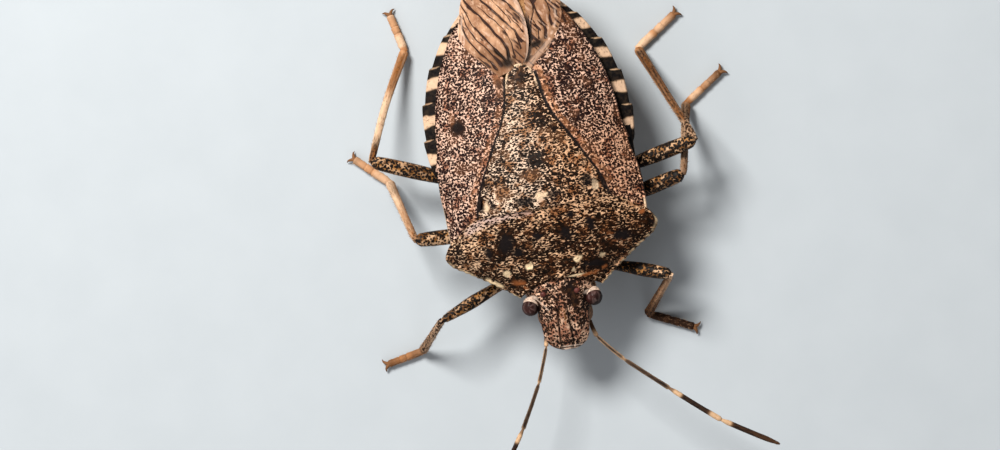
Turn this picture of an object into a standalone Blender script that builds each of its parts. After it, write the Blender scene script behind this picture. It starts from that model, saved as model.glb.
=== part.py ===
"""Brown shield bug standing on its six feet, at life size. Metres, +Z up.

The head points to -Y, the bug's own left side is +X, and the feet stand on z = 0.
Sizes below are in millimetres and become metres where a mesh is made.
"""
from math import cos, exp, pi, radians, sin

import bmesh
import bpy
import numpy as np
from mathutils import Matrix, Vector

MM = 0.001
OBJECT_NAME = "shield_bug"

# Clear space kept between pieces that meet, and shell thicknesses
GAP = 0.25
JOINT_GAP = 0.2
SHELL = 0.5
SHIELD = 0.55
MEMBRANE = 0.45

# Body stations along the midline, measured from the rear edge of the shield behind the head
SHIELD_FRONT = -3.0
SHIELD_REAR = 0.05
SCUTELLUM_TIP = 5.42
WING_TIP = 9.25
THORAX_REAR = 2.0
ABDOMEN_TIP = 8.62
WIDEST = 3.0
ABDOMEN_HALF_WIDTH = 4.08
EDGE_LENGTH = 5.78
EDGE_ROUNDNESS = 0.66
EDGE_TAPER = 0.03
WING_MARGIN = 0.02
RAISED_BORDER_END = 7.15

# Folded membranes: base behind the scutellum, root of the fan, start of the free edge, veins
MEMBRANE_BASE = 5.75
FAN_ROOT = (0.86, 5.42)
RIM_START = (1.99, 7.44)
UPPER_VEINS = 7
LOWER_VEINS = 4
VEIN_HEIGHT = 0.09
UPPER_LIFT = 0.1
LOWER_RIM_SHARE = 0.957

# Heights of the body over the floor
STERNUM = 1.75
BELLY = 1.4

# Joints between the segments of the banded border
SEGMENT_JOINTS = (3.15, 4.57, 5.9, 7.05)
SEGMENT_STEP = 0.07

# Head
NECK_Y = SHIELD_FRONT - GAP
HEAD_YAW = 3.5
EYE_SIDE = 1.25
EYE_AHEAD = 0.68
EYE_HEIGHT = 3.3
EYE_RADII = (0.33, 0.34, 0.38)
SOCKET_GAP = 0.15
BAR_HALF_WIDTH = 0.19
GROOVE_DEPTH = 0.07

# Limb thickness: radii in the middle of each piece
COXA_RADIUS = 0.31
FEMUR_RADIUS = 0.31
TIBIA_RADIUS = 0.245
TARSUS_RADIUS = 0.24
CLAW_RADIUS = 0.07
ANTENNA_RADIUS = 0.235
BEAK_RADIUS = 0.23
ANKLE_HEIGHT = 0.8
SOLE_CENTRE = 0.15
LIMB_SIDES = 2

# Pose of each leg: hip, knee, ankle and toe
LEGS = {
    "front_left": ((1.05, -2.45, 1.3), (4.27, -3.62, 3.1), (2.96, -4.93), (4.9, -5.88)),
    "front_right": ((-1.05, -2.25, 1.3), (-4.85, -3.8, 2.8), (-6.04, -4.77), (-7.78, -5.1)),
    "middle_left": ((1.25, -0.68, 1.3), (5.45, 0.13, 3.05), (5.88, 2.91), (7.67, 4.07)),
    "middle_right": ((-1.25, -0.78, 1.3), (-5.28, -0.54, 3.0), (-6.17, 1.98), (-7.6, 3.35)),
    "hind_left": ((1.35, 0.5, 1.3), (6.14, 1.34, 3.15), (4.41, 5.39), (6.31, 6.64)),
    "hind_right": ((-1.35, 0.62, 1.3), (-6.5, 2.82, 2.6), (-4.66, 7.0), (-5.05, 8.77)),
}

# Pose of each feeler: its root and the ends of its five pieces
ANTENNAE = {
    "left": ((0.78, -4.75, 2.2), (0.95, -5.45, 2.25), (1.86, -6.52, 2.6), (3.42, -7.96, 2.85),
             (5.16, -9.51, 2.75), (7.2, -10.84, 2.3)),
    "right": ((-0.98, -4.85, 2.2), (-1.06, -5.5, 2.25), (-1.57, -6.85, 2.6), (-2.49, -8.52, 2.85),
              (-3.87, -10.53, 2.75), (-4.98, -12.68, 2.3)),
}


def smooth_curve(*points):
    """A function through the given (position, value) points, without overshoot."""
    xs = np.array([p[0] for p in points], float)
    ys = np.array([p[1] for p in points], float)
    steps = np.diff(xs)
    rises = np.diff(ys) / steps
    slopes = np.zeros(len(xs))
    for i in range(1, len(xs) - 1):
        if rises[i - 1] * rises[i] > 0:
            slopes[i] = 2.0 / (1.0 / rises[i - 1] + 1.0 / rises[i])
    slopes[0] = rises[0]
    slopes[-1] = rises[-1]

    def value(x):
        x = min(max(x, xs[0]), xs[-1])
        i = min(int(np.searchsorted(xs, x, side="right")) - 1, len(xs) - 2)
        t = (x - xs[i]) / steps[i]
        a = ys[i] * (1 + 2 * t) * (1 - t) ** 2 + ys[i + 1] * t * t * (3 - 2 * t)
        b = steps[i] * (slopes[i] * t * (1 - t) ** 2 - slopes[i + 1] * t * t * (1 - t))
        return float(a + b)

    return value


# The back: height on the midline, height at the side and half width, from front to rear
back_height = smooth_curve((-3.6, 3.75), (-3.0, 4.02), (-2.0, 4.5), (-1.0, 4.92), (0.4, 5.18),
                           (2.0, 5.12), (4.0, 4.85), (5.4, 4.58), (7.0, 4.22), (8.3, 3.86), (9.3, 3.5))
side_height = smooth_curve((-3.6, 3.25), (-2.5, 3.5), (-1.5, 3.72), (-0.5, 3.56), (1.0, 3.5),
                           (3.0, 3.42), (5.0, 3.38), (7.0, 3.32), (9.3, 3.2))
back_half_width = smooth_curve((-3.6, 1.6), (-3.2, 2.0), (-2.6, 2.85), (-2.1, 3.65), (-1.6, 4.15),
                               (-1.0, 4.22), (3.0, 4.12), (5.3, 3.7), (7.4, 2.8), (9.3, 2.0))

# Plan of the shield behind the head: its side edge from the front corner to the rear corner
shield_side_x = smooth_curve((0.0, 1.62), (0.15, 2.05), (0.35, 2.8), (0.55, 3.52), (0.68, 3.99),
                             (0.79, 4.18), (0.9, 4.06), (1.0, 3.9))
shield_side_y = smooth_curve((0.0, -3.5), (0.15, -3.16), (0.35, -2.62), (0.55, -2.15), (0.68, -1.83),
                             (0.79, -1.5), (0.9, -1.2), (1.0, -0.98))

# Plan of the scutellum and of the leathery part of each front wing
scutellum_half_width = smooth_curve((0.0, 2.56), (0.7, 2.34), (1.7, 1.84), (2.5, 1.4), (3.3, 0.95),
                                    (4.0, 0.72), (4.7, 0.62), (5.1, 0.5), (5.34, 0.25), (5.42, 0.06))
border_width = smooth_curve((0.9, 0.0), (1.5, 0.1), (2.9, 0.46), (4.4, 0.52), (5.8, 0.48),
                            (7.3, 0.3))

# Head: half width, top, side and underside heights along its length
head_half_width = smooth_curve((0.0, 1.38), (0.3, 1.3), (0.65, 1.12), (1.0, 1.02), (1.4, 0.95),
                               (2.0, 0.87), (2.25, 0.74), (2.42, 0.52), (2.52, 0.26))
head_top = smooth_curve((0.0, 3.93), (0.6, 3.86), (1.2, 3.66), (1.9, 3.3), (2.52, 2.86))
head_side = smooth_curve((0.0, 3.2), (0.8, 3.12), (1.6, 2.98), (2.52, 2.68))
head_under = smooth_curve((0.0, 2.15), (0.8, 2.05), (1.8, 2.1), (2.3, 2.3), (2.52, 2.5))


def border_edge(y):
    """Outer edge of the abdomen before its teeth."""
    if y < WIDEST:
        return ABDOMEN_HALF_WIDTH - EDGE_TAPER * (WIDEST - y) ** 2
    t = (y - WIDEST) / EDGE_LENGTH
    return ABDOMEN_HALF_WIDTH * max(1 - t * t, 0.0) ** EDGE_ROUNDNESS


def abdomen_half_width(y):
    """Outer edge of the abdomen, with a small tooth at the rear corner of each segment."""
    half = border_edge(y)
    starts = (THORAX_REAR - 0.3,) + SEGMENT_JOINTS
    ahead = [s for s in starts if s <= y + 1e-6]
    if ahead and y < SEGMENT_JOINTS[-1]:
        half += SEGMENT_STEP * min((y - ahead[-1]) / 1.4, 1.0) - SEGMENT_STEP / 2
    return half


def wing_outer(y):
    """Outer edge of the leathery wing part, seen from above."""
    if y < 0.9:
        return 3.9 - 0.03 * (y - 0.1) ** 2
    edge = border_edge(y) - border_width(y) - WING_MARGIN
    if y < 1.9:
        return min(edge, 3.88 - 0.14 * (y - 0.9))
    return edge


def back(x, y):
    """Height of the back over the floor."""
    top = back_height(y)
    side = side_height(y)
    t = min(abs(x) / back_half_width(y), 1.0)
    return side + (top - side) * (1 - t ** 2.2)


def under_shell(x, y, thickness=SHELL):
    """Height of what lies below the shell: the back lowered by the shell and the gap."""
    d = 0.05
    dx = (back(x + d, y) - back(x - d, y)) / (2 * d)
    dy = (back(x, y + d) - back(x, y - d)) / (2 * d)
    return back(x, y) - (thickness + GAP) * (1 + dx * dx + dy * dy) ** 0.5


# Meshes

def new_object(name, mesh, material, smooth_angle=40):
    mesh.shade_smooth()
    mesh.set_sharp_from_angle(angle=radians(smooth_angle))
    obj = bpy.data.objects.new(name, mesh)
    parts.objects.link(obj)
    if material:
        mesh.materials.append(material)
    return obj


def mesh_from(name, verts, faces):
    mesh = bpy.data.meshes.new(name)
    mesh.from_pydata([(x * MM, y * MM, z * MM) for x, y, z in verts], [], faces)
    bm = bmesh.new()
    bm.from_mesh(mesh)
    bmesh.ops.recalc_face_normals(bm, faces=bm.faces)
    bm.to_mesh(mesh)
    bm.free()
    return mesh


def loft(name, rings, material):
    """Closed skin over a row of rings with equal numbers of points."""
    n = len(rings[0])
    verts = [p for ring in rings for p in ring]
    faces = []
    for r in range(len(rings) - 1):
        for i in range(n):
            j = (i + 1) % n
            faces.append((r * n + i, r * n + j, (r + 1) * n + j, (r + 1) * n + i))
    for ring_index in (0, len(rings) - 1):
        centre = len(verts)
        verts.append(tuple(np.mean(np.array(rings[ring_index]), axis=0)))
        for i in range(n):
            faces.append((ring_index * n + i, ring_index * n + (i + 1) % n, centre))
    return new_object(name, mesh_from(name, verts, faces), material)


def slab(name, top, bottom, material):
    """Closed body between two grids of points of the same size."""
    rows, cols = len(top), len(top[0])
    verts = [p for row in top for p in row] + [p for row in bottom for p in row]
    low = rows * cols
    faces = []
    for r in range(rows - 1):
        for c in range(cols - 1):
            a, b = r * cols + c, r * cols + c + 1
            d, e = (r + 1) * cols + c, (r + 1) * cols + c + 1
            faces.append((a, b, e, d))
            faces.append((low + a, low + d, low + e, low + b))
    rim = [c for c in range(cols)]
    rim += [r * cols + cols - 1 for r in range(1, rows)]
    rim += [(rows - 1) * cols + c for c in range(cols - 2, -1, -1)]
    rim += [r * cols for r in range(rows - 2, 0, -1)]
    for k, a in enumerate(rim):
        b = rim[(k + 1) % len(rim)]
        faces.append((a, low + a, low + b, b))
    return new_object(name, mesh_from(name, verts, faces), material)


def shell(name, grid, material, thickness=SHELL):
    """Open sheet of points given a thickness on its inner side."""
    rows, cols = len(grid), len(grid[0])
    verts = [p for row in grid for p in row]
    faces = []
    for r in range(rows - 1):
        for c in range(cols - 1):
            a, d = r * cols + c, (r + 1) * cols + c
            faces.append((a, a + 1, d + 1, d))
    mesh = mesh_from(name, verts, faces)
    if sum(p.normal.z for p in mesh.polygons) < 0:
        mesh.flip_normals()
    obj = new_object(name, mesh, material)
    solid = obj.modifiers.new("thickness", "SOLIDIFY")
    solid.thickness = thickness * MM
    solid.offset = -1
    return obj


def tube(name, path, radii, material, sides=LIMB_SIDES):
    """Round tube through points, with its own radius at each, as a closed mesh."""
    curve = bpy.data.curves.new(name, "CURVE")
    curve.dimensions = "3D"
    curve.bevel_depth = MM
    curve.bevel_resolution = sides
    curve.use_fill_caps = True
    spline = curve.splines.new("POLY")
    spline.points.add(len(path) - 1)
    for point, place, radius in zip(spline.points, path, radii):
        point.co = (place[0] * MM, place[1] * MM, place[2] * MM, 1)
        point.radius = radius
    guide = bpy.data.objects.new(name + "_path", curve)
    parts.objects.link(guide)
    bpy.context.view_layer.update()
    mesh = bpy.data.meshes.new_from_object(guide.evaluated_get(bpy.context.evaluated_depsgraph_get()))
    matrix = guide.matrix_world.copy()
    bpy.data.objects.remove(guide)
    bpy.data.curves.remove(curve)
    bm = bmesh.new()
    bm.from_mesh(mesh)
    bmesh.ops.remove_doubles(bm, verts=bm.verts, dist=0.002 * MM)
    bmesh.ops.recalc_face_normals(bm, faces=bm.faces)
    bm.to_mesh(mesh)
    bm.free()
    mesh.materials.clear()
    obj = new_object(name, mesh, material, 50)
    obj.matrix_world = matrix
    return obj


def ball(name, centre, radii, material, segments=14, rings=9):
    mesh = bpy.data.meshes.new(name)
    bm = bmesh.new()
    bmesh.ops.create_uvsphere(bm, u_segments=segments, v_segments=rings, radius=MM)
    bmesh.ops.scale(bm, vec=Vector(radii), verts=bm.verts)
    bmesh.ops.translate(bm, vec=Vector(centre) * MM, verts=bm.verts)
    bm.to_mesh(mesh)
    bm.free()
    return new_object(name, mesh, material)


def keep_largest(mesh):
    """Leave only the closed surface with the most room in it."""
    bm = bmesh.new()
    bm.from_mesh(mesh)
    left = set(bm.faces)
    groups = []
    while left:
        stack = [left.pop()]
        group = list(stack)
        while stack:
            face = stack.pop()
            for edge in face.edges:
                for other in edge.link_faces:
                    if other in left:
                        left.remove(other)
                        stack.append(other)
                        group.append(other)
        groups.append(group)
    sizes = [sum(f.calc_center_median().dot(f.normal) * f.calc_area() for f in g) for g in groups]
    best = max(range(len(groups)), key=lambda i: abs(sizes[i]))
    extra = [f for i, g in enumerate(groups) if i != best for f in g]
    bmesh.ops.delete(bm, geom=extra, context="FACES")
    bm.to_mesh(mesh)
    bm.free()


def combine(obj, others, operation):
    """Join the others to an object, or cut them from it, in one step."""
    group = bpy.data.collections.new(obj.name + "_tools")
    for other in others:
        parts.objects.unlink(other)
        group.objects.link(other)
        other.hide_render = True
        other.display_type = "WIRE"
    change = obj.modifiers.new("combine", "BOOLEAN")
    change.operand_type = "COLLECTION"
    change.collection = group
    change.operation = operation
    change.solver = "EXACT"
    bpy.context.view_layer.update()
    mesh = bpy.data.meshes.new_from_object(obj.evaluated_get(bpy.context.evaluated_depsgraph_get()))
    obj.modifiers.remove(change)
    obj.data = mesh
    for other in others:
        bpy.data.objects.remove(other)
    bpy.data.collections.remove(group)
    keep_largest(mesh)
    mesh.set_sharp_from_angle(angle=radians(40))
    return obj


def along(a, b, t):
    return tuple(p + (q - p) * t for p, q in zip(a, b))


def unit(a, b):
    return (Vector(b) - Vector(a)).normalized()


# Materials

def surface(name, colour, roughness):
    material = bpy.data.materials.new(name)
    material.use_nodes = True
    shader = material.node_tree.nodes["Principled BSDF"]
    shader.inputs["Base Color"].default_value = (*colour, 1)
    shader.inputs["Roughness"].default_value = roughness
    shader.inputs["Metallic"].default_value = 0
    material.diffuse_color = (*colour, 1)
    return material


# Sub-parts

def shield_point(u, v):
    """Place on the shield: u runs across from -1 to 1, v from the front to the rear edge."""
    middle_y = SHIELD_FRONT + (SHIELD_REAR - SHIELD_FRONT) * v
    bend = 2.0 + 1.7 * v
    x = u * shield_side_x(v)
    y = middle_y + (shield_side_y(v) - middle_y) * abs(u) ** bend
    return x, y


def shield_rear(x):
    """Rear edge of the shield behind the head, at a distance from the midline."""
    half = shield_side_x(1)
    share = min(abs(x) / half, 1)
    return SHIELD_REAR + (shield_side_y(1) - SHIELD_REAR) * share ** 3.7


def make_pronotum(material):
    """Shield behind the head, with the underside of its own body ring."""
    across = [-1, -0.93, -0.85, -0.8, -0.68, -0.55, -0.42, -0.28, -0.14]
    across += [0] + [-u for u in reversed(across)]
    down = [0, 0.08, 0.17, 0.26, 0.35, 0.44, 0.53, 0.57, 0.63, 0.68, 0.74, 0.79, 0.84, 0.9, 0.95, 1]
    top, bottom = [], []
    for v in down:
        top_row, bottom_row = [], []
        for u in across:
            x, y = shield_point(u, v)
            z = back(x, y)
            shelf = z - SHIELD + 0.2 * max(abs(u) - 0.8, 0) / 0.2
            low = shelf
            if abs(u) < 0.84 and v < 0.55:
                low = min(STERNUM + 1.4 * abs(u / 0.8) ** 2.2, shelf)
            top_row.append((x, y, z))
            bottom_row.append((x, y, low))
        top.append(top_row)
        bottom.append(bottom_row)
    return slab("pronotum", top, bottom, material)


def make_scutellum(material):
    """Triangular plate on the back, with a rounded tongue at its tip."""
    grid = []
    front = SHIELD_REAR + GAP
    for i in range(21):
        t = i / 20
        y = front + (SCUTELLUM_TIP - front) * (1 - (1 - t) ** 1.15)
        half = scutellum_half_width(y)
        row = []
        for j in range(15):
            u = j / 7 - 1
            x = u * half
            dip = 0.12 * (1 - t) ** 4 * abs(u) ** 3
            row.append((x, y - dip, back(x, y) + 0.06 * (1 - u * u)))
        grid.append(row)
    return shell("scutellum", grid, material)


def corium_corner_rows():
    """Inner and outer edge of a leathery wing part, matched from front to rear."""
    rows = []
    for i in range(25):
        t = i / 24
        inner_y = 0.22 + (5.12 - 0.22) * t
        outer_y = -0.72 + (7.32 + 0.72) * t
        rows.append(((scutellum_half_width(inner_y) + GAP, inner_y), (wing_outer(outer_y), outer_y)))
    return rows


def make_corium(name, side, material):
    """Leathery front part of a front wing."""
    grid = []
    for k, (inner, outer) in enumerate(corium_corner_rows()):
        row = []
        for j in range(12):
            u = j / 11
            x = inner[0] + (outer[0] - inner[0]) * u
            y = inner[1] + (outer[1] - inner[1]) * u
            fade = max(1 - k / 4, 0)
            y += (shield_rear(x) + GAP - y) * fade
            row.append((side * x, y, back(x, y)))
        grid.append(row)
    return shell(name, grid, material)


def overlap_edge(t):
    """Edge of the upper wing's membrane where it lies over the lower one, from base to tip."""
    y = MEMBRANE_BASE + (WING_TIP - MEMBRANE_BASE) * t
    x = 0.12 * (1 - t) + 0.5 * sin(pi * t ** 0.65)
    return x, y


def wing_rim(t):
    """Free edge of the folded membranes, from the end of the leathery part round to the tip."""
    angle = t * pi / 2
    return RIM_START[0] * cos(angle) ** 0.75, RIM_START[1] + (WING_TIP - RIM_START[1]) * sin(angle)


def membrane_place(side, u, t):
    """Place on a membrane: u runs from its outer to its inner side, t from its base to the free edge."""
    upper = side < 0
    spread = 1.0 if upper else LOWER_RIM_SHARE
    inset = 0 if upper else GAP
    outer = [(side * FAN_ROOT[0], FAN_ROOT[1]), (side * RIM_START[0], RIM_START[1])]
    inner = [overlap_edge(0), overlap_edge(1)]
    inner = [(x + inset, y) for x, y in inner]
    on_outer = along(outer[0], outer[1], t)
    edge_x, edge_y = overlap_edge(t)
    on_inner = (edge_x + inset, edge_y)
    on_base = along(outer[0], inner[0], u)
    rim_x, rim_y = wing_rim(u * spread)
    on_rim = (side * rim_x, rim_y)
    corner = along(along(outer[0], inner[0], u), along(outer[1], inner[1], u), t)
    sides = along(on_outer, on_inner, u)
    ends = along(on_base, on_rim, t)
    return sides[0] + ends[0] - corner[0], sides[1] + ends[1] - corner[1]


def make_membrane(name, side, material):
    """Thin rear part of a front wing, with its main veins raised in its own surface."""
    upper = side < 0
    veins = UPPER_VEINS if upper else LOWER_VEINS
    columns = veins * 3 + 1
    rows = 13
    grid = []
    for r in range(rows):
        t = r / (rows - 1)
        row = []
        for c in range(columns):
            x, y = membrane_place(side, c / (columns - 1), t)
            vein = VEIN_HEIGHT if c % 3 == 0 and 0 < c < columns - 1 else 0
            level = UPPER_LIFT if upper else 0
            row.append((x, y, back(x, y) + level + vein * sin(pi * min(t, 0.9)) ** 0.5))
        grid.append(row)
    return shell(name, grid, material, MEMBRANE)


def make_thorax(material):
    """Underside and sides of the body between the first pair of legs and the abdomen."""
    top, bottom = [], []
    rows, columns = 12, 19
    for r in range(rows):
        t = r / (rows - 1)
        top_row, bottom_row = [], []
        for c in range(columns):
            u = 2 * c / (columns - 1) - 1
            half = 3.5 + 0.25 * t
            x = u * half
            front = -1.05 - 0.6 * abs(u) ** 3
            y = front + (THORAX_REAR - front) * t
            high = under_shell(x, y, SHIELD if y < 0.3 else SHELL) - 0.05
            low = STERNUM + 1.2 * abs(u) ** 1.6 - 0.1 * t * (1 - u * u)
            top_row.append((x, y, high))
            bottom_row.append((x, y, min(low, high - 0.25)))
        top.append(top_row)
        bottom.append(bottom_row)
    return slab("thorax", top, bottom, material)


def abdomen_ring(y):
    """Section of the abdomen: banded border, flat top under the wings, round belly."""
    t = (y - THORAX_REAR - GAP) / (ABDOMEN_TIP - THORAX_REAR - GAP)
    half = abdomen_half_width(y)
    border = side_height(y) - 0.08
    belly = BELLY + 0.25 * (1 - t) ** 3 + 1.35 * t ** 3.2
    for joint in SEGMENT_JOINTS:
        belly += 0.05 * exp(-((y - joint) / 0.1) ** 2)
    raised = min(max((RAISED_BORDER_END - y) / 0.4, 0), 1)
    inner = min(wing_outer(min(y, 7.3)) + GAP, half - 0.12)
    if raised == 0:
        inner = half - 0.15
    floor_at = under_shell(inner - 0.1, y)
    rim = floor_at + (border + 0.1 - floor_at) * raised
    edge = min(border, rim)
    right = [(half, edge - 0.12), (half - 0.03, edge), (inner + 0.02, rim), (inner - 0.03, floor_at)]
    top = []
    for i in range(1, 8):
        x = (inner - 0.03) * (1 - i / 7)
        top.append((x, under_shell(x, y)))
    right += top
    left = [(-x, z) for x, z in reversed(right[:-1])]
    under = []
    for i in range(1, 16):
        angle = pi * i / 16
        x = -half * cos(angle)
        depth = sin(angle) ** 0.85
        under.append((x, (edge - 0.12) - (edge - 0.12 - belly) * depth))
    return [(x, y, z) for x, z in right + left + under]


def make_abdomen(material):
    start = THORAX_REAR + GAP
    stations = [start + (8.3 - start) * i / 17 for i in range(18)] + [8.45, 8.55, ABDOMEN_TIP]
    for joint in SEGMENT_JOINTS:
        stations += [joint - 0.03, joint + 0.03]
    stations.sort()
    kept = [stations[0]]
    for y in stations[1:]:
        near_joint = any(abs(abs(y - j) - 0.03) < 1e-6 for j in SEGMENT_JOINTS)
        if near_joint or all(abs(y - j) > 0.12 for j in SEGMENT_JOINTS):
            kept.append(y)
    return loft("abdomen", [abdomen_ring(y) for y in kept], material)


def head_relief(x, s):
    """Raised middle bar between two grooves, from the brow to the front edge."""
    strength = min(max((s - 0.9) / 0.3, 0), 1)
    groove = exp(-((abs(x) - BAR_HALF_WIDTH - 0.06) / 0.06) ** 2)
    bar = exp(-(x / BAR_HALF_WIDTH) ** 4)
    return strength * (0.04 * bar - GROOVE_DEPTH * groove)


def make_head(material):
    """Head with its middle bar, the roots of the feelers and sockets for the eyes."""
    rings = []
    for s in (0, 0.2, 0.45, 0.7, 0.9, 1.05, 1.2, 1.35, 1.5, 1.65, 1.8, 1.95, 2.1, 2.25, 2.36, 2.45, 2.52):
        half = head_half_width(s)
        ring = []
        fractions = [-1, -0.92, -0.8, -0.66, -0.52, -0.4, -0.32, -0.25, -0.19, -0.12]
        fractions += [0] + [-f for f in reversed(fractions)]
        for f in fractions:
            x = f * half
            bow = 0.5 * (x / 1.62) ** 2 * max(1 - s / 0.9, 0)
            rise = (1 - abs(f) ** 2.6) ** 0.8
            z = head_side(s) + (head_top(s) - head_side(s)) * rise + head_relief(x, s) * (abs(f) < 0.9)
            ring.append((x, NECK_Y - s - bow, z))
        for i in range(1, 12):
            angle = pi * i / 12
            x = half * cos(angle)
            bow = 0.5 * (x / 1.62) ** 2 * max(1 - s / 0.9, 0)
            z = head_side(s) - (head_side(s) - head_under(s)) * sin(angle) ** 0.8
            ring.append((x, NECK_Y - s - bow, z))
        rings.append(ring)
    head = loft("head", rings, material)
    roots = []
    for side in (-1, 1):
        centre = (side * 0.82, NECK_Y - 1.12, 2.42)
        roots.append(ball("feeler_root", centre, (0.3, 0.38, 0.26), None, 12, 8))
    combine(head, roots, "UNION")
    sockets = []
    for side in (-1, 1):
        centre = (side * EYE_SIDE, NECK_Y - EYE_AHEAD, EYE_HEIGHT)
        radii = [r + SOCKET_GAP for r in EYE_RADII]
        sockets.append(ball("socket", centre, radii, None, 16, 10))
    combine(head, sockets, "DIFFERENCE")
    return turn_head(head)


def turn_head(obj):
    """Turn a piece of the head about the neck, to the bug's right."""
    pivot = Matrix.Translation(Vector((0, SHIELD_FRONT, 0)) * MM)
    obj.data.transform(pivot @ Matrix.Rotation(-radians(HEAD_YAW), 4, "Z") @ pivot.inverted())
    return obj


def make_eye(name, side, material):
    centre = (side * EYE_SIDE, NECK_Y - EYE_AHEAD, EYE_HEIGHT)
    return turn_head(ball(name, centre, EYE_RADII, material, 16, 10))


def make_beak(material):
    """Beak folded back under the head and between the legs, in four pieces."""
    joints = [(0, -5.25, 2.02), (0, -4.4, 1.6), (0, -2.7, 1.33), (0, -0.9, 1.3), (0, 0.8, 1.3)]
    path, radii = [], []
    for k in range(4):
        taper = 1 - 0.13 * k
        for t, r in ((0.0, 0.75), (0.25, 1.0), (0.75, 1.0)):
            path.append(along(joints[k], joints[k + 1], t))
            radii.append(BEAK_RADIUS * taper * r)
    path.append(joints[-1])
    radii.append(BEAK_RADIUS * 0.35)
    return tube("beak", path, radii, material, 1)


def make_antenna(name, joints, material):
    """Feeler of five pieces, thin at each joint and tapering to the tip."""
    path, radii = [], []
    start = Vector(joints[0])
    first = start + unit(joints[0], joints[1]) * 0.12
    joints = (tuple(first),) + joints[1:]
    for k in range(5):
        taper = (1.0, 0.97, 0.95, 1.0, 0.95)[k]
        stops = ((0.02, 0.72), (0.15, 0.95), (0.5, 1.0), (0.85, 0.98))
        if k == 4:
            stops = ((0.02, 0.72), (0.15, 1.0), (0.5, 0.95), (0.8, 0.75), (0.93, 0.5))
        for t, r in stops:
            path.append(along(joints[k], joints[k + 1], t))
            radii.append(ANTENNA_RADIUS * taper * r)
    path.append(joints[5])
    radii.append(ANTENNA_RADIUS * 0.25)
    return tube(name, path, radii, material, 1)


def make_femur(name, hip, knee, material):
    """Hip, its ring and the thigh, up to the knee."""
    inner = (hip[0] * 0.93, hip[1], hip[2] + 0.03)
    ring = along(hip, knee, 0.11)
    path = [inner, hip, ring]
    radii = [COXA_RADIUS * 0.7, COXA_RADIUS, COXA_RADIUS * 0.72]
    for t, r in ((0.17, 0.82), (0.35, 0.9), (0.6, 1.03), (0.8, 1.02), (0.93, 0.9), (1.0, 0.6)):
        path.append(along(hip, knee, t))
        radii.append(FEMUR_RADIUS * r)
    return tube(name, path, radii, material)


def make_tibia(name, knee, ankle, material):
    """Shin, with its root below the knee and its end over the foot."""
    down = unit(knee, ankle)
    start = Vector(knee) + down * (FEMUR_RADIUS * 0.8 + JOINT_GAP)
    path, radii = [], []
    for t, r in ((0, 0.5), (0.04, 0.85), (0.1, 1.0), (0.3, 0.92), (0.7, 0.92), (0.93, 1.08), (1.0, 0.85)):
        path.append(along(tuple(start), ankle, t))
        radii.append(TIBIA_RADIUS * r)
    return tube(name, path, radii, material)


def make_tarsus(name, ankle, toe, material):
    """Foot of three pieces on small flat soles, with two claws."""
    heel = Vector((ankle[0], ankle[1], SOLE_CENTRE))
    end = Vector((toe[0], toe[1], SOLE_CENTRE))
    forward = (end - heel).normalized()
    start = heel - forward * 0.08
    last = end - forward * 0.3
    path, radii = [], []
    for t, r in ((0, 0.8), (0.08, 1.0), (0.4, 1.0), (0.46, 0.72), (0.52, 0.9), (0.64, 0.9),
                 (0.7, 0.7), (0.77, 0.92), (0.93, 0.95), (1.0, 0.7)):
        path.append(tuple(start.lerp(last, t)))
        radii.append(TARSUS_RADIUS * r)
    foot = tube(name, path, radii, material)
    for vertex in foot.data.vertices:
        vertex.co.z = max(vertex.co.z, 0)
    across = forward.cross(Vector((0, 0, 1)))
    claws = []
    for side in (-1, 1):
        root = last - forward * 0.12 + Vector((0, 0, 0.03))
        middle = last + forward * 0.16 + across * side * 0.17 + Vector((0, 0, 0.06))
        tip = last + forward * 0.3 + across * side * 0.27 + Vector((0, 0, -0.09))
        rows = [tuple(root), tuple(middle), tuple(tip)]
        radii = [CLAW_RADIUS * 1.3, CLAW_RADIUS, CLAW_RADIUS * 0.4]
        claws.append(tube(name + "_claw", rows, radii, None, 1))
    return combine(foot, claws, "UNION")


def make_leg(name, hip, knee, ankle_xy, toe_xy, materials):
    ankle = (ankle_xy[0], ankle_xy[1], ANKLE_HEIGHT)
    make_femur("femur_" + name, hip, knee, materials["thigh"])
    make_tibia("tibia_" + name, knee, ankle, materials["shin"])
    make_tarsus("tarsus_" + name, ankle_xy, toe_xy, materials["foot"])


def centre_on_floor():
    """Put the middle of the whole model's box over the origin, feet on the floor."""
    root = bpy.data.objects.new(OBJECT_NAME, None)
    parts.objects.link(root)
    low = np.full(3, np.inf)
    high = np.full(3, -np.inf)
    graph = bpy.context.evaluated_depsgraph_get()
    for obj in [o for o in parts.objects if o.type == "MESH"]:
        mesh = obj.evaluated_get(graph).data
        places = np.array([obj.matrix_world @ v.co for v in mesh.vertices])
        low = np.minimum(low, places.min(axis=0))
        high = np.maximum(high, places.max(axis=0))
        obj.parent = root
    root.location = (-(low[0] + high[0]) / 2, -(low[1] + high[1]) / 2, -low[2])
    bpy.context.view_layer.update()


for old in list(bpy.data.objects):
    bpy.data.objects.remove(old)

parts = bpy.data.collections.new(OBJECT_NAME)
bpy.context.scene.collection.children.link(parts)

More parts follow.
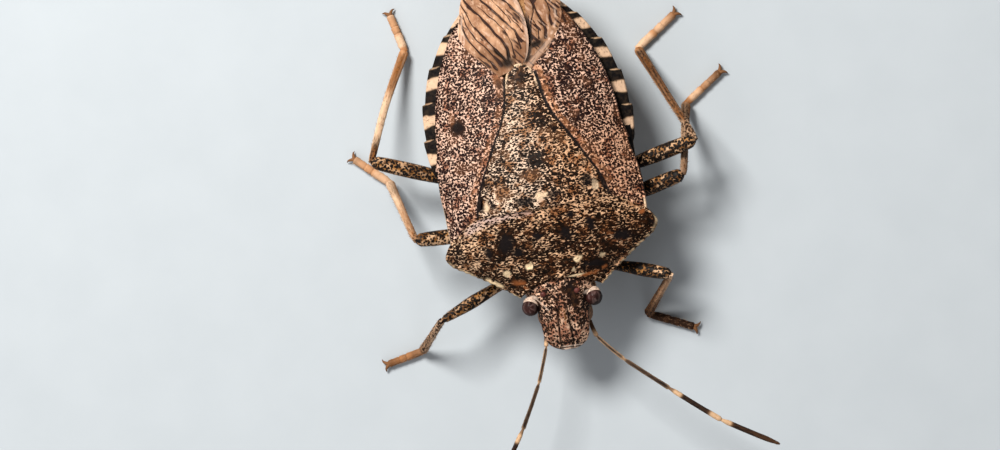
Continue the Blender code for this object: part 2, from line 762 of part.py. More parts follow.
looks = {
    "shield": surface("shield_brown", (0.13, 0.075, 0.045), 0.6),
    "scutellum": surface("scutellum_tan", (0.17, 0.11, 0.07), 0.6),
    "corium": surface("corium_brown", (0.17, 0.095, 0.07), 0.6),
    "membrane": surface("membrane_tan", (0.42, 0.25, 0.13), 0.4),
    "head": surface("head_brown", (0.14, 0.08, 0.05), 0.6),
    "eye": surface("eye_maroon", (0.06, 0.02, 0.018), 0.2),
    "belly": surface("belly_pale", (0.38, 0.27, 0.17), 0.5),
    "abdomen": surface("abdomen_banded", (0.3, 0.2, 0.12), 0.5),
    "beak": surface("beak_brown", (0.2, 0.12, 0.06), 0.4),
    "feeler": surface("feeler_brown", (0.12, 0.06, 0.035), 0.5),
    "thigh": surface("thigh_mottled", (0.16, 0.09, 0.04), 0.5),
    "shin": surface("shin_ochre", (0.33, 0.2, 0.1), 0.5),
    "foot": surface("foot_orange", (0.4, 0.22, 0.1), 0.5),
}

make_head(looks["head"])
make_eye("eye_left", 1, looks["eye"])
make_eye("eye_right", -1, looks["eye"])
make_beak(looks["beak"])
make_pronotum(looks["shield"])
make_scutellum(looks["scutellum"])
make_corium("wing_left", 1, looks["corium"])
make_corium("wing_right", -1, looks["corium"])
make_membrane("membrane_left", 1, looks["membrane"])
make_membrane("membrane_right", -1, looks["membrane"])
make_thorax(looks["belly"])
make_abdomen(looks["abdomen"])
for side_name, places in ANTENNAE.items():
    make_antenna("antenna_" + side_name, places, looks["feeler"])
for leg_name, (hip_at, knee_at, ankle_at, toe_at) in LEGS.items():
    make_leg(leg_name, hip_at, knee_at, ankle_at, toe_at, looks)
centre_on_floor()
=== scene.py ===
"""Looks of the shield bug: fine shell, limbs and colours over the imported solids.

The functions work in millimetres from ORIGIN, with x to the bug's left, y to its tail and z up; make_object turns
them into metres. Pattern values painted on the points (tone, cream, warm, black and others) steer the materials.
"""
from math import cos, exp, pi, radians, sin

import bmesh
import bpy
import numpy as np
from mathutils import Matrix, Vector


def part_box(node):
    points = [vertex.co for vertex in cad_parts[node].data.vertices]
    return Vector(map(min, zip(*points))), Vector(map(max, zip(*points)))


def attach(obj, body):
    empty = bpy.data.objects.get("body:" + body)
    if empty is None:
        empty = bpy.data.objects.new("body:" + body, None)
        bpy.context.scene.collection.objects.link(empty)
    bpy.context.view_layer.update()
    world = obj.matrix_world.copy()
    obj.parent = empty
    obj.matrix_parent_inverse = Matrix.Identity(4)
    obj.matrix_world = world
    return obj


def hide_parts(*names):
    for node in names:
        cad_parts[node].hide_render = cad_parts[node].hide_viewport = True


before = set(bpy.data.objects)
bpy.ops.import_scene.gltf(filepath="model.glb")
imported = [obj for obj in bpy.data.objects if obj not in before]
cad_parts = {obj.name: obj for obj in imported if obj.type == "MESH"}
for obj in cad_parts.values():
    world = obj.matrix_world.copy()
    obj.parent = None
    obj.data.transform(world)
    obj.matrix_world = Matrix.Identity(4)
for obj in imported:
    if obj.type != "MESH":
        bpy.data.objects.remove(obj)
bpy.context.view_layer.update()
MM = 0.001

# Body sizes in millimetres, as in the solids
SHIELD_FRONT = -3.0
SHIELD_REAR = 0.05
SCUTELLUM_TIP = 5.42
WING_TIP = 9.25
THORAX_REAR = 2.0
ABDOMEN_TIP = 8.62
WIDEST = 3.0
ABDOMEN_HALF_WIDTH = 4.08
STERNUM = 1.75
BELLY = 1.4
SEGMENT_JOINTS = (3.15, 4.57, 5.9, 7.05)
PALE_PATCHES = (2.42, 3.89, 5.3, 6.57, 7.58)
NECK_Y = -3.25
HEAD_YAW = 3.5
EYE_SIDE = 1.25
EYE_AHEAD = 0.68
EYE_HEIGHT = 3.3
EYE_RADII = (0.33, 0.34, 0.38)
MEMBRANE_BASE = 5.3
RIM_START = (1.99, 7.44)
LEAN = 0.13
SIDE_NAMES = {1: "left", -1: "right"}

# Points down and across each plate, and how thick the plates are
SHIELD_GRID = (130, 281)
SCUTELLUM_GRID = (170, 121)
CORIUM_GRID = (210, 120)
FILM_GRIDS = {1: (170, 160), -1: (170, 190)}
SCUTELLUM_THICK = 0.14
CORIUM_THICK = 0.12
FILM_THICK = 0.06

LEGS = {
    "front_left": ((1.05, -2.45, 1.3), (4.27, -3.62, 3.1), (2.96, -4.93), (4.9, -5.88)),
    "front_right": ((-1.05, -2.25, 1.3), (-4.85, -3.8, 2.8), (-6.04, -4.77), (-7.78, -5.1)),
    "middle_left": ((1.25, -0.68, 1.3), (5.45, 0.13, 3.05), (5.88, 2.91), (7.67, 4.07)),
    "middle_right": ((-1.25, -0.78, 1.3), (-5.28, -0.54, 3.0), (-6.17, 1.98), (-7.6, 3.35)),
    "hind_left": ((1.35, 0.5, 1.3), (6.14, 1.34, 3.15), (4.41, 5.39), (6.31, 6.64)),
    "hind_right": ((-1.35, 0.62, 1.3), (-6.5, 2.82, 2.6), (-4.66, 7.0), (-5.05, 8.77)),
}
ANTENNAE = {
    "left": ((0.78, -4.75, 2.2), (0.95, -5.45, 2.25), (1.86, -6.52, 2.6), (3.42, -7.96, 2.85),
             (5.16, -9.51, 2.75), (7.2, -10.84, 2.3)),
    "right": ((-0.98, -4.85, 2.2), (-1.06, -5.5, 2.25), (-1.57, -6.85, 2.6), (-2.49, -8.52, 2.85),
              (-3.87, -10.53, 2.75), (-4.98, -12.68, 2.3)),
}

scutellum_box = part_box("scutellum")
ORIGIN = Vector(((scutellum_box[0][0] + scutellum_box[1][0]) / 2,
                 scutellum_box[1][1] - SCUTELLUM_TIP * MM, 0))


# Curves and noise

def curve(*points):
    """Smooth function through (position, value) points, without overshoot; takes arrays."""
    xs = np.array([p[0] for p in points], float)
    ys = np.array([p[1] for p in points], float)
    step = np.diff(xs)
    rise = np.diff(ys) / step
    slope = np.zeros(len(xs))
    for i in range(1, len(xs) - 1):
        if rise[i - 1] * rise[i] > 0:
            slope[i] = 2 / (1 / rise[i - 1] + 1 / rise[i])
    slope[0], slope[-1] = rise[0], rise[-1]

    def value(x):
        x = np.clip(np.asarray(x, float), xs[0], xs[-1])
        i = np.clip(np.searchsorted(xs, x, side="right") - 1, 0, len(xs) - 2)
        t = (x - xs[i]) / step[i]
        a = ys[i] * (1 + 2 * t) * (1 - t) ** 2 + ys[i + 1] * t * t * (3 - 2 * t)
        return a + step[i] * (slope[i] * t * (1 - t) ** 2 - slope[i + 1] * t * t * (1 - t))

    return value


def smooth(low, high, x):
    """0 to 1 as x goes from low to high, also where low is the larger one; eased at both ends."""
    t = np.clip((np.asarray(x, float) - low) / (high - low), 0, 1)
    return t * t * (3 - 2 * t)


def bump(x, centre, width):
    """Bell of height 1."""
    return np.exp(-((np.asarray(x, float) - centre) / width) ** 2)


def sheet(grid, first=0.0):
    """Two grids of numbers: 0 to 1 down the rows, and first to 1 along them."""
    return np.meshgrid(np.linspace(0, 1, grid[0]), np.linspace(first, 1, grid[1]), indexing="ij")


def xyz(x, y, z):
    return np.stack([x, y, z], -1)


def spot(x, y, cx, cy, rx, ry, turn=0.0, edge=0.35):
    """Soft-edged ellipse: 1 inside, 0 outside."""
    c, s = cos(radians(turn)), sin(radians(turn))
    dx, dy = x - cx, y - cy
    a = (dx * c + dy * s) / rx
    b = (-dx * s + dy * c) / ry
    return 1 - smooth(1 - edge, 1 + edge, np.sqrt(a * a + b * b))


def lattice(ix, iy, seed):
    """Seeded value from -1 to 1 at each whole-numbered point."""
    n = (ix * 374761393 + iy * 668265263 + seed * 974711) & 0x7FFFFFFF
    n = ((n ^ (n >> 13)) * 1274126177) & 0x7FFFFFFF
    return ((n ^ (n >> 16)) & 0xFFFF) / 65535.0 * 2 - 1


def noise(x, y, size, seed=1):
    """Seeded value noise from -1 to 1 with features of the given size."""
    x, y = np.asarray(x, float) / size, np.asarray(y, float) / size
    ix, iy = np.floor(x).astype(np.int64), np.floor(y).astype(np.int64)
    fx, fy = x - ix, y - iy
    fx, fy = fx * fx * (3 - 2 * fx), fy * fy * (3 - 2 * fy)
    a = lattice(ix, iy, seed) * (1 - fx) + lattice(ix + 1, iy, seed) * fx
    b = lattice(ix, iy + 1, seed) * (1 - fx) + lattice(ix + 1, iy + 1, seed) * fx
    return a * (1 - fy) + b * fy


def cloud(x, y, size, seed=1):
    return (noise(x, y, size, seed) + 0.5 * noise(x, y, size / 2.1, seed + 7)
            + 0.25 * noise(x, y, size / 4.3, seed + 13)) / 1.4


back_height = curve((-3.6, 3.75), (-3.0, 4.02), (-2.0, 4.5), (-1.0, 4.92), (0.4, 5.18), (2.0, 5.12),
                    (4.0, 4.85), (5.4, 4.58), (7.0, 4.22), (8.3, 3.86), (9.3, 3.5))
side_height = curve((-3.6, 3.25), (-2.5, 3.5), (-1.5, 3.72), (-0.5, 3.56), (1.0, 3.5), (3.0, 3.42),
                    (5.0, 3.38), (7.0, 3.32), (9.3, 3.2))
back_half_width = curve((-3.6, 1.6), (-3.2, 2.0), (-2.6, 2.85), (-2.1, 3.65), (-1.6, 4.15), (-1.0, 4.22),
                        (3.0, 4.12), (5.3, 3.7), (7.4, 2.8), (9.3, 2.0))
shield_side_x = curve((0.0, 1.62), (0.15, 2.05), (0.35, 2.8), (0.55, 3.52), (0.68, 3.99), (0.79, 4.18),
                      (0.9, 4.06), (1.0, 3.9))
shield_side_y = curve((0.0, -3.5), (0.15, -3.16), (0.35, -2.62), (0.55, -2.15), (0.68, -1.83),
                      (0.79, -1.5), (0.9, -1.2), (1.0, -0.98))
scutellum_half = curve((-0.4, 2.62), (0.0, 2.56), (0.7, 2.34), (1.7, 1.84), (2.5, 1.4), (3.3, 0.95),
                       (4.0, 0.72), (4.7, 0.62), (5.1, 0.5), (5.34, 0.25), (5.42, 0.02))
border_width = curve((0.9, 0.0), (1.5, 0.1), (2.9, 0.46), (4.4, 0.52), (5.8, 0.48), (7.3, 0.3))
head_half = curve((0.0, 1.38), (0.3, 1.3), (0.65, 1.12), (1.0, 1.02), (1.4, 0.95), (2.0, 0.87),
                  (2.25, 0.74), (2.42, 0.52), (2.52, 0.26))
head_top = curve((0.0, 3.93), (0.6, 3.86), (1.2, 3.66), (1.9, 3.3), (2.52, 2.86))
head_side = curve((0.0, 3.2), (0.8, 3.12), (1.6, 2.98), (2.52, 2.68))
head_under = curve((0.0, 2.15), (0.8, 2.05), (1.8, 2.1), (2.3, 2.3), (2.52, 2.5))


def back(x, y):
    top, side = back_height(y), side_height(y)
    t = np.clip(np.abs(x) / back_half_width(y), 0, 1)
    return side + (top - side) * (1 - t ** 2.2)


def edge_at(y):
    """Outer edge of the abdomen before its teeth."""
    y = np.asarray(y, float)
    ahead = ABDOMEN_HALF_WIDTH - 0.03 * (WIDEST - y) ** 2
    t = np.clip((y - WIDEST) / 5.78, 0, 1)
    return np.where(y < WIDEST, ahead, ABDOMEN_HALF_WIDTH * (1 - t * t) ** 0.66)


def wing_outer(y):
    y = np.asarray(y, float)
    near = 3.9 - 0.03 * (y - 0.1) ** 2
    far = edge_at(y) - border_width(y) - 0.02
    mid = np.minimum(far, 3.88 - 0.14 * (y - 0.9))
    return np.where(y < 0.9, near, np.where(y < 1.9, mid, far))


def lean(x, y):
    """The rear body sits a little to the bug's right of the middle line."""
    return x - LEAN * smooth(0.6, 0.95, np.abs(x) / np.maximum(edge_at(y), 0.1)) * smooth(0.0, 1.8, y)


# Meshes


def make_object(name, verts, faces, material, node=None, values=None, smooth_angle=60):
    mesh = bpy.data.meshes.new(name)
    verts = np.asarray(verts, float).reshape(-1, 3) * MM
    mesh.from_pydata(verts.tolist(), [], faces)
    mesh.validate()
    bm = bmesh.new()
    bm.from_mesh(mesh)
    bmesh.ops.recalc_face_normals(bm, faces=bm.faces)
    bm.to_mesh(mesh)
    bm.free()
    mesh.shade_smooth()
    if smooth_angle:
        mesh.set_sharp_from_angle(angle=radians(smooth_angle))
    for key, data in (values or {}).items():
        layer = mesh.attributes.new(key, "FLOAT", "POINT")
        layer.data.foreach_set("value", np.asarray(data, np.float32).ravel())
    mesh.materials.append(material)
    obj = bpy.data.objects.new(name, mesh)
    obj.location = ORIGIN
    bpy.context.scene.collection.objects.link(obj)
    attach(obj, "root")
    if node:
        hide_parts(*(node if isinstance(node, tuple) else (node,)))
    return obj


def grid_faces(rows, cols, first=0, closed=False, flip=False):
    faces = []
    last = cols if closed else cols - 1
    for r in range(rows - 1):
        for c in range(last):
            a, b = first + r * cols + c, first + r * cols + (c + 1) % cols
            d, e = a + cols, b + cols
            faces.append((a, d, e, b) if flip else (a, b, e, d))
    return faces


class Body:
    """Gathers grids of points and their pattern values into one mesh."""

    def __init__(self):
        self.verts, self.faces = [], []
        self.values = {}
        self.count = 0

    def add(self, points, faces, **values):
        points = np.asarray(points, float).reshape(-1, 3)
        n = len(points)
        self.verts.append(points)
        self.faces += [tuple(i + self.count for i in f) for f in faces]
        for key in sorted({*self.values, *values}):
            store = self.values.setdefault(key, [np.zeros(self.count)] if self.count else [])
            data = values.get(key, 0.0)
            store.append(np.broadcast_to(np.asarray(data, float).ravel() if np.ndim(data) else data, (n,)))
        self.count += n
        return self.count - n

    def plate(self, top, thickness, **values):
        """Closed plate below a grid of points, with a soft rounded rim."""
        rows, cols = top.shape[:2]
        low = top.copy()
        low[..., 2] -= thickness
        points = np.concatenate([top.reshape(-1, 3), low.reshape(-1, 3)])
        n = rows * cols
        faces = grid_faces(rows, cols) + grid_faces(rows, cols, n, flip=True)
        rim = list(range(cols)) + [r * cols + cols - 1 for r in range(1, rows)]
        rim += [(rows - 1) * cols + c for c in range(cols - 2, -1, -1)]
        rim += [r * cols for r in range(rows - 2, 0, -1)]
        for k, a in enumerate(rim):
            b = rim[(k + 1) % len(rim)]
            faces.append((a, n + a, n + b, b))
        doubled = {k: np.concatenate([np.ravel(v), np.ravel(v)]) for k, v in values.items()}
        self.add(points, faces, **doubled)

    def rings(self, rings, **values):
        """Closed skin over rings of points (rows, count, 3)."""
        rings = np.asarray(rings, float)
        rows, cols = rings.shape[:2]
        centres = np.stack([rings[0].mean(axis=0), rings[-1].mean(axis=0)])
        points = np.concatenate([rings.reshape(-1, 3), centres])
        faces = grid_faces(rows, cols, closed=True)
        for c in range(cols):
            faces.append((rows * cols, (c + 1) % cols, c))
            faces.append((rows * cols + 1, (rows - 1) * cols + c, (rows - 1) * cols + (c + 1) % cols))
        full = {}
        for key, data in values.items():
            data = np.broadcast_to(np.asarray(data, float), (rows, cols))
            full[key] = np.concatenate([data.ravel(), [data[0].mean(), data[-1].mean()]])
        self.add(points, faces, **full)

    def skin(self, rings):
        """Closed skin over a list of (ring of points, pattern values)."""
        self.rings([points for points, _ in rings], **{k: [v[k] for _, v in rings] for k in rings[0][1]})

    def make(self, name, material, node=None, smooth_angle=60):
        values = {k: np.concatenate(v) for k, v in self.values.items()}
        return make_object(name, np.concatenate(self.verts), self.faces, material, node, values, smooth_angle)


def frames_along(path):
    """Tangent and two side directions at each point of a path, without twist."""
    path = np.asarray(path, float)
    tangent = np.gradient(path, axis=0)
    tangent /= np.linalg.norm(tangent, axis=1)[:, None]
    side = np.cross(tangent[0], (0, 0, 1.0))
    side /= np.linalg.norm(side)
    sides = []
    for t in tangent:
        side = side - t * np.dot(side, t)
        side /= np.linalg.norm(side)
        sides.append(side)
    sides = np.array(sides)
    return tangent, sides, np.cross(sides, tangent)


def limb(body, path, radii, sides=18, flat=1.0, ribs=0.0, rib_count=3, **values):
    """Tube along a path with its own radius at each point; flat squeezes it, ribs give it ridges."""
    _, across, up = frames_along(path)
    angle = np.linspace(0, 2 * pi, sides, endpoint=False)
    shape = 1 + ribs * np.cos(rib_count * angle)
    radii = np.asarray(radii, float)[:, None]
    rings = (np.asarray(path)[:, None, :]
             + across[:, None, :] * (radii * shape * np.cos(angle))[..., None]
             + up[:, None, :] * (radii * shape * flat * np.sin(angle))[..., None])
    rows = len(path)
    full = {}
    for key, data in values.items():
        data = np.asarray(data, float)
        full[key] = np.broadcast_to(data[:, None] if data.ndim == 1 else data, (rows, sides))
    body.rings(rings, **full)


def spline(points, count):
    """Evenly spaced points on a smooth curve through the given ones."""
    points = np.asarray(points, float)
    gaps = np.linalg.norm(np.diff(points, axis=0), axis=1)
    at = np.concatenate([[0], np.cumsum(gaps)])
    where = np.linspace(0, at[-1], count)
    parts = [curve(*zip(at, points[:, k]))(where) for k in range(3)]
    return np.stack(parts, -1)


# Materials

class Graph:
    """A new material with a short way to add shader nodes to it."""

    def __init__(self, name):
        self.material = bpy.data.materials.new(name)
        self.material.use_nodes = True
        self.tree = self.material.node_tree
        self.shader = self.tree.nodes["Principled BSDF"]

    def put(self, node, inputs):
        """Sockets of a node, by name or number, each set to a value or linked to another node's output."""
        for socket, value in inputs.items():
            if hasattr(value, "is_output"):
                self.tree.links.new(value, node.inputs[socket])
            else:
                node.inputs[socket].default_value = value

    def node(self, kind, inputs=None, **settings):
        node = self.tree.nodes.new(kind)
        for key, value in settings.items():
            setattr(node, key, value)
        self.put(node, inputs or {})
        return node

    def math(self, operation, *values):
        return self.node("ShaderNodeMath", dict(enumerate(values)), operation=operation).outputs[0]

    def span(self, value, low, high, to_low=0.0, to_high=1.0):
        sockets = {"Value": value, "From Min": low, "From Max": high, "To Min": to_low, "To Max": to_high}
        return self.node("ShaderNodeMapRange", sockets, interpolation_type="SMOOTHSTEP").outputs["Result"]

    def mix(self, factor, a, b, kind="MIX"):
        a, b = ((*v, 1) if isinstance(v, tuple) else v for v in (a, b))
        return self.node("ShaderNodeMix", {0: factor, 6: a, 7: b}, data_type="RGBA", blend_type=kind).outputs[2]

    def attribute(self, name):
        return self.node("ShaderNodeAttribute", attribute_name=name).outputs["Fac"]

    def place(self, *scale):
        """Coordinates on the piece times the scale: one number, or one for each axis, in cells per metre."""
        where = self.node("ShaderNodeTexCoord").outputs["Object"]
        scale = scale * 3 if len(scale) == 1 else scale
        return self.node("ShaderNodeMapping", {"Vector": where, "Scale": scale}).outputs["Vector"]

    def noise(self, vector, detail=2.0, rough=0.6, scale=1.0, output="Fac"):
        sockets = {"Vector": vector, "Scale": scale, "Detail": detail, "Roughness": rough}
        return self.node("ShaderNodeTexNoise", sockets).outputs[output]

    def cells(self, vector, feature="DISTANCE_TO_EDGE", random=1.0):
        sockets = {"Vector": vector, "Scale": 1.0, "Randomness": random}
        return self.node("ShaderNodeTexVoronoi", sockets, feature=feature).outputs["Distance"]

    def ragged_cells(self, where, scale, reach, feature="DISTANCE_TO_EDGE"):
        """Cells with walls shifted by noise of the given scale, as far as reach."""
        wobble = self.noise(where, scale=scale, output="Color")
        sockets = {0: wobble, 1: (reach, reach, reach), 2: where}
        return self.cells(self.node("ShaderNodeVectorMath", sockets, operation="MULTIPLY_ADD").outputs[0], feature)

    def surface(self, colour, rough, specular=0.5, height=None, relief=0.0):
        """Feed the shader; relief is the depth in metres of a height of 1."""
        self.put(self.shader, {"Base Color": colour, "Roughness": rough, "Specular IOR Level": specular})
        if height is not None:
            node = self.node("ShaderNodeBump", {"Strength": 1.0, "Distance": relief, "Height": height})
            self.put(self.shader, {"Normal": node.outputs["Normal"]})
        return self.material


def darker(colour, share=0.8):
    return tuple(v * share for v in colour)


# Greyish pink of the painted sheen band on the pronotum.
SHEEN_TINT = (0.42, 0.3, 0.265)
TAN = (1.0, 0.8, 0.62)
NET_RAGGED = 0.8
NET_SOFT = (-0.035, 0.05)
SHELL_RELIEF = 0.00004
LIMB_RELIEF = 0.00002


def chitin(name, dark, pale, warm, cell, line, gain, mottle=0.1, brown=(0.2, 0.09, 0.04), brown_from=0.5,
           cream=(0.72, 0.52, 0.34), black=(0.007, 0.005, 0.005), specular=0.045):
    """Punctured shell: pale net over dark pits, with painted tone, cream, black and warm marks."""
    g = Graph(name)
    where = g.place(*(1000 / c for c in cell))
    edge = g.ragged_cells(where, 0.9, 0.9)
    broad = g.noise(g.place(1300), 3.0)
    fine = g.noise(g.place(5200))
    hue = g.noise(g.place(2300), 3.0, 0.65)
    break_up = g.noise(where, 1.0, 0.5, 1.25)
    width = g.math("MULTIPLY_ADD", g.attribute("tone"), gain, line)
    for texture, amount in ((broad, mottle * 1.6), (break_up, NET_RAGGED)):
        width = g.math("ADD", width, g.math("MULTIPLY", g.math("SUBTRACT", texture, 0.5), amount))
    net = g.math("SUBTRACT", 1.0, g.span(g.math("SUBTRACT", edge, width), *NET_SOFT))
    light = g.mix(g.span(hue, brown_from - 0.06, brown_from + 0.14), pale, brown)
    # Painted sheen: the pale net turns greyish pink where the painted sheen value is high.
    light = g.mix(g.attribute("bloom"), light, SHEEN_TINT)
    pits = g.mix(g.span(fine, 0.42, 0.75), dark, tuple(d * 0.8 + w * 0.1 for d, w in zip(dark, warm)))
    colour = g.mix(net, pits, light)
    colour = g.mix(g.attribute("tan"), colour, TAN, "MULTIPLY")
    colour = g.mix(g.math("MULTIPLY", g.attribute("warm"), 0.75), colour, warm)
    colour = g.mix(g.attribute("black"), colour, black)
    colour = g.mix(g.attribute("cream"), colour, g.mix(g.span(fine, 0.3, 0.8), cream, darker(cream)))
    height = g.math("ADD", g.math("MULTIPLY", net, 0.8), g.math("MULTIPLY", fine, 0.35))
    return g.surface(colour, g.math("MULTIPLY_ADD", net, 0.12, 0.5), specular, height, SHELL_RELIEF)


def limb_look(name, dark, base, pale, gold, cell, blotch, rough=0.55, specular=0.06):
    """Leg shell: ochre ground with dark blotches where blotch is high, bands from the pattern values."""
    g = Graph(name)
    near = g.ragged_cells(g.place(1000 / cell), 0.8, 1.1, "F1")
    fine = g.noise(g.place(6000))
    level = g.math("MULTIPLY_ADD", g.attribute("blotch"), 0.75, blotch - 0.4)
    blot = g.math("SUBTRACT", 1.0, g.span(g.math("SUBTRACT", near, level), -0.06, 0.06))
    ground = g.mix(g.span(fine, 0.3, 0.7), base, darker(base, 0.62))
    ground = g.mix(g.attribute("gold"), ground, g.mix(fine, gold, darker(gold)))
    ground = g.mix(g.attribute("pale"), ground, g.mix(fine, pale, darker(pale, 0.85)))
    colour = g.mix(g.attribute("black"), g.mix(blot, ground, dark), dark)
    height = g.math("ADD", g.math("MULTIPLY", blot, -0.5), fine)
    return g.surface(colour, rough, specular, height, LIMB_RELIEF)


def eye_look(name):
    """Dark red facets with a pale glint painted on."""
    g = Graph(name)
    facets = g.cells(g.place(26000), random=0.35)
    colour = g.mix(g.span(g.noise(g.place(2500), 3.0), 0.35, 0.65), (0.032, 0.009, 0.007), (0.009, 0.003, 0.0025))
    colour = g.mix(g.attribute("pale"), colour, (0.3, 0.19, 0.17))
    g.put(g.shader, {"Coat Weight": 0.05, "Coat Roughness": 0.3})
    return g.surface(colour, 0.45, 0.1, g.span(facets, 0.0, 0.25), 0.000006)


def ocellus_look(name):
    g = Graph(name)
    tint = g.span(g.noise(g.place(9000), 2.0, 0.5), 0.35, 0.65)
    return g.surface(g.mix(tint, (0.035, 0.008, 0.007), (0.11, 0.03, 0.022)), 0.45, 0.12)


def membrane_look(name):
    """Golden film over dark: brown streaks where vein is high, milky lines and painted highlight streaks where cream
    is high.
    """
    g = Graph(name)
    stretch = g.noise(g.place(2600, 1100, 1500), 4.0)
    fine = g.noise(g.place(9000, 5000, 7000), 3.0, 0.65)
    gold = g.mix(g.span(stretch, 0.35, 0.66), (0.44, 0.245, 0.14), (0.23, 0.105, 0.055))
    # Painted highlight: pale specks on the film.
    gold = g.mix(g.span(fine, 0.5, 0.74), gold, (0.62, 0.4, 0.27))
    gold = g.mix(g.math("MULTIPLY", g.attribute("shade"), 0.85), gold, (0.15, 0.068, 0.032))
    vein = g.math("MULTIPLY", g.span(g.attribute("vein"), 0.1, 0.55), g.span(stretch, 0.22, 0.42, 0.78, 1.0))
    colour = g.mix(vein, gold, (0.026, 0.011, 0.008))
    colour = g.mix(g.attribute("cream"), colour, (0.62, 0.44, 0.34))
    colour = g.mix(g.attribute("black"), colour, (0.012, 0.008, 0.006))
    height = g.math("ADD", g.math("MULTIPLY", fine, 0.5), g.math("MULTIPLY", vein, -0.6))
    return g.surface(colour, g.math("MULTIPLY_ADD", fine, 0.25, 0.42), 0.06, height, 0.00003)


def floor_look(name):
    g = Graph(name)
    grain = g.noise(g.place(350), 4.0, 0.55)
    return g.surface(g.mix(grain, (0.355, 0.385, 0.41), (0.4, 0.43, 0.455)), 0.85)


SHIELD_LOOK = chitin(
    "shield_shell", (0.006, 0.003, 0.0015), (0.6, 0.38, 0.235), (0.32, 0.1, 0.03), (0.17, 0.085, 0.12),
    0.035, 0.11, 0.2, (0.23, 0.1, 0.042), 0.49, cream=(0.7, 0.52, 0.32))
HEAD_LOOK = chitin(
    "head_shell", (0.009, 0.005, 0.004), (0.62, 0.385, 0.26), (0.36, 0.14, 0.04), (0.12, 0.13, 0.13),
    0.065, 0.11, 0.2, (0.28, 0.12, 0.07), 0.46, cream=(0.7, 0.53, 0.42))
SCUTELLUM_LOOK = chitin(
    "scutellum_shell", (0.008, 0.005, 0.004), (0.66, 0.475, 0.345), (0.22, 0.09, 0.036), (0.15, 0.092, 0.13),
    0.03, 0.11, 0.14, (0.24, 0.115, 0.055), 0.48)
CORIUM_LOOK = chitin(
    "corium_shell", (0.011, 0.005, 0.005), (0.64, 0.42, 0.32), (0.28, 0.11, 0.045), (0.125, 0.11, 0.12),
    0.03, 0.09, 0.1, (0.24, 0.1, 0.06), 0.52)
BELLY_LOOK = chitin(
    "belly_shell", (0.06, 0.03, 0.013), (0.4, 0.26, 0.135), (0.3, 0.14, 0.05), (0.15, 0.15, 0.15),
    0.3, 0.2, cream=(0.58, 0.385, 0.255), black=(0.005, 0.004, 0.004), specular=0.05)
MEMBRANE_LOOK = membrane_look("wing_film")
THIGH_LOOK = limb_look(
    "thigh_shell", (0.005, 0.003, 0.002), (0.12, 0.048, 0.014), (0.64, 0.4, 0.235), (0.38, 0.17, 0.048),
    0.092, 0.64, 0.5, 0.12)
SHIN_LOOK = limb_look(
    "shin_shell", (0.012, 0.005, 0.003), (0.15, 0.052, 0.013), (0.68, 0.46, 0.3), (0.44, 0.175, 0.055), 0.09, 0.38)
FEELER_LOOK = limb_look(
    "feeler_shell", (0.01, 0.006, 0.005), (0.06, 0.026, 0.014), (0.6, 0.38, 0.22), (0.24, 0.1, 0.035), 0.07, 0.42)
EYE_LOOK = eye_look("eye_facets")
OCELLUS_LOOK = ocellus_look("ocellus_red")


# Painted pattern values

class Paint:
    """Pattern values over a grid of points: tone adds up, the other layers keep their highest value."""

    def __init__(self, x, y):
        self.x, self.y = x, y
        self.layers = {}

    def __call__(self, name, value):
        old = self.layers.get(name, 0.0)
        self.layers[name] = old + value if name == "tone" else np.maximum(old, value)

    def spots(self, marks, wobble=(0.0, 0.0)):
        """Soft ellipses by layer and edge, each as level, x, y, half width, half height and turn."""
        for (name, edge), rows in marks.items():
            for level, *place in rows:
                self(name, level * spot(self.x + wobble[0], self.y + wobble[1], *place, edge))

    def broken(self, size, seed, low, high):
        """Patchy mask of seeded noise."""
        return smooth(low, high, noise(self.x, self.y, size, seed))

    def values(self):
        return {k: v if k == "tone" else np.clip(v, 0, 1) for k, v in self.layers.items()}


def rounded(t, start):
    """0 up to start, then down a quarter circle to nearly 1 at t = 1."""
    rest = np.clip((t - start) / (1 - start), 0, 1)
    return 1 - np.sqrt(1 - 0.98 * rest ** 2)


# Shield behind the head

TEETH = 17
SHIELD_TONES = {
    ("tone", 0.7): ((-0.3, 3.0, -1.7, 1.2, 0.7, -25), (0.2, -2.9, -0.75, 0.7, 0.4, 20)),
    ("tone", 0.8): ((0.1, -3.0, -1.3, 1.3, 0.7, 20), (0.35, 0.2, -0.3, 2.6, 0.35, 0)),
    ("tone", 0.5): ((-0.9, -1.35, -2.98, 0.7, 0.2, -15), (-0.7, 1.75, -2.75, 0.6, 0.22, 20)),
    ("tone", 0.6): (
        (-0.88, -1.32, -0.78, 0.5, 0.3, 25), (-0.96, -1.71, -1.4, 0.45, 0.25, 40),
        (-0.96, -2.25, -1.87, 0.6, 0.2, 20), (-1.04, 0.55, -1.21, 0.3, 0.25, 0),
        (-0.72, -0.42, -1.17, 0.25, 0.22, 0), (-0.8, 2.86, -1.77, 0.5, 0.2, -25),
        (-0.88, 2.25, -2.15, 0.4, 0.2, -35), (-0.72, 3.75, -1.35, 0.35, 0.25, -20),
        (-0.64, -3.6, -1.55, 0.5, 0.3, 10), (-1.04, 1.55, -2.66, 0.5, 0.18, -20),
        (-0.88, -1.3, -2.62, 0.5, 0.14, 15), (-0.64, 0.5, -2.5, 0.3, 0.2, 0),
        (-0.48, -0.3, -2.6, 0.4, 0.2, 0), (-0.56, 1.7, -1.0, 0.4, 0.2, 10),
        (-0.48, 2.3, -0.55, 0.7, 0.12, 8), (-0.56, 1.0, -1.95, 0.5, 0.16, -10),
        (-0.48, -0.9, -1.95, 0.45, 0.14, 12)),
}
SHIELD_CREAM = {("cream", 0.3): (
    (1.0, -1.9, -2.5, 0.132, 0.11, 20), (1.0, -0.97, -2.36, 0.144, 0.12, 20), (1.0, 0.92, -2.39, 0.168, 0.14, 20),
    (0.55, 1.85, -2.44, 0.12, 0.1, 20), (0.8, 0.69, -2.78, 0.084, 0.07, 20))}
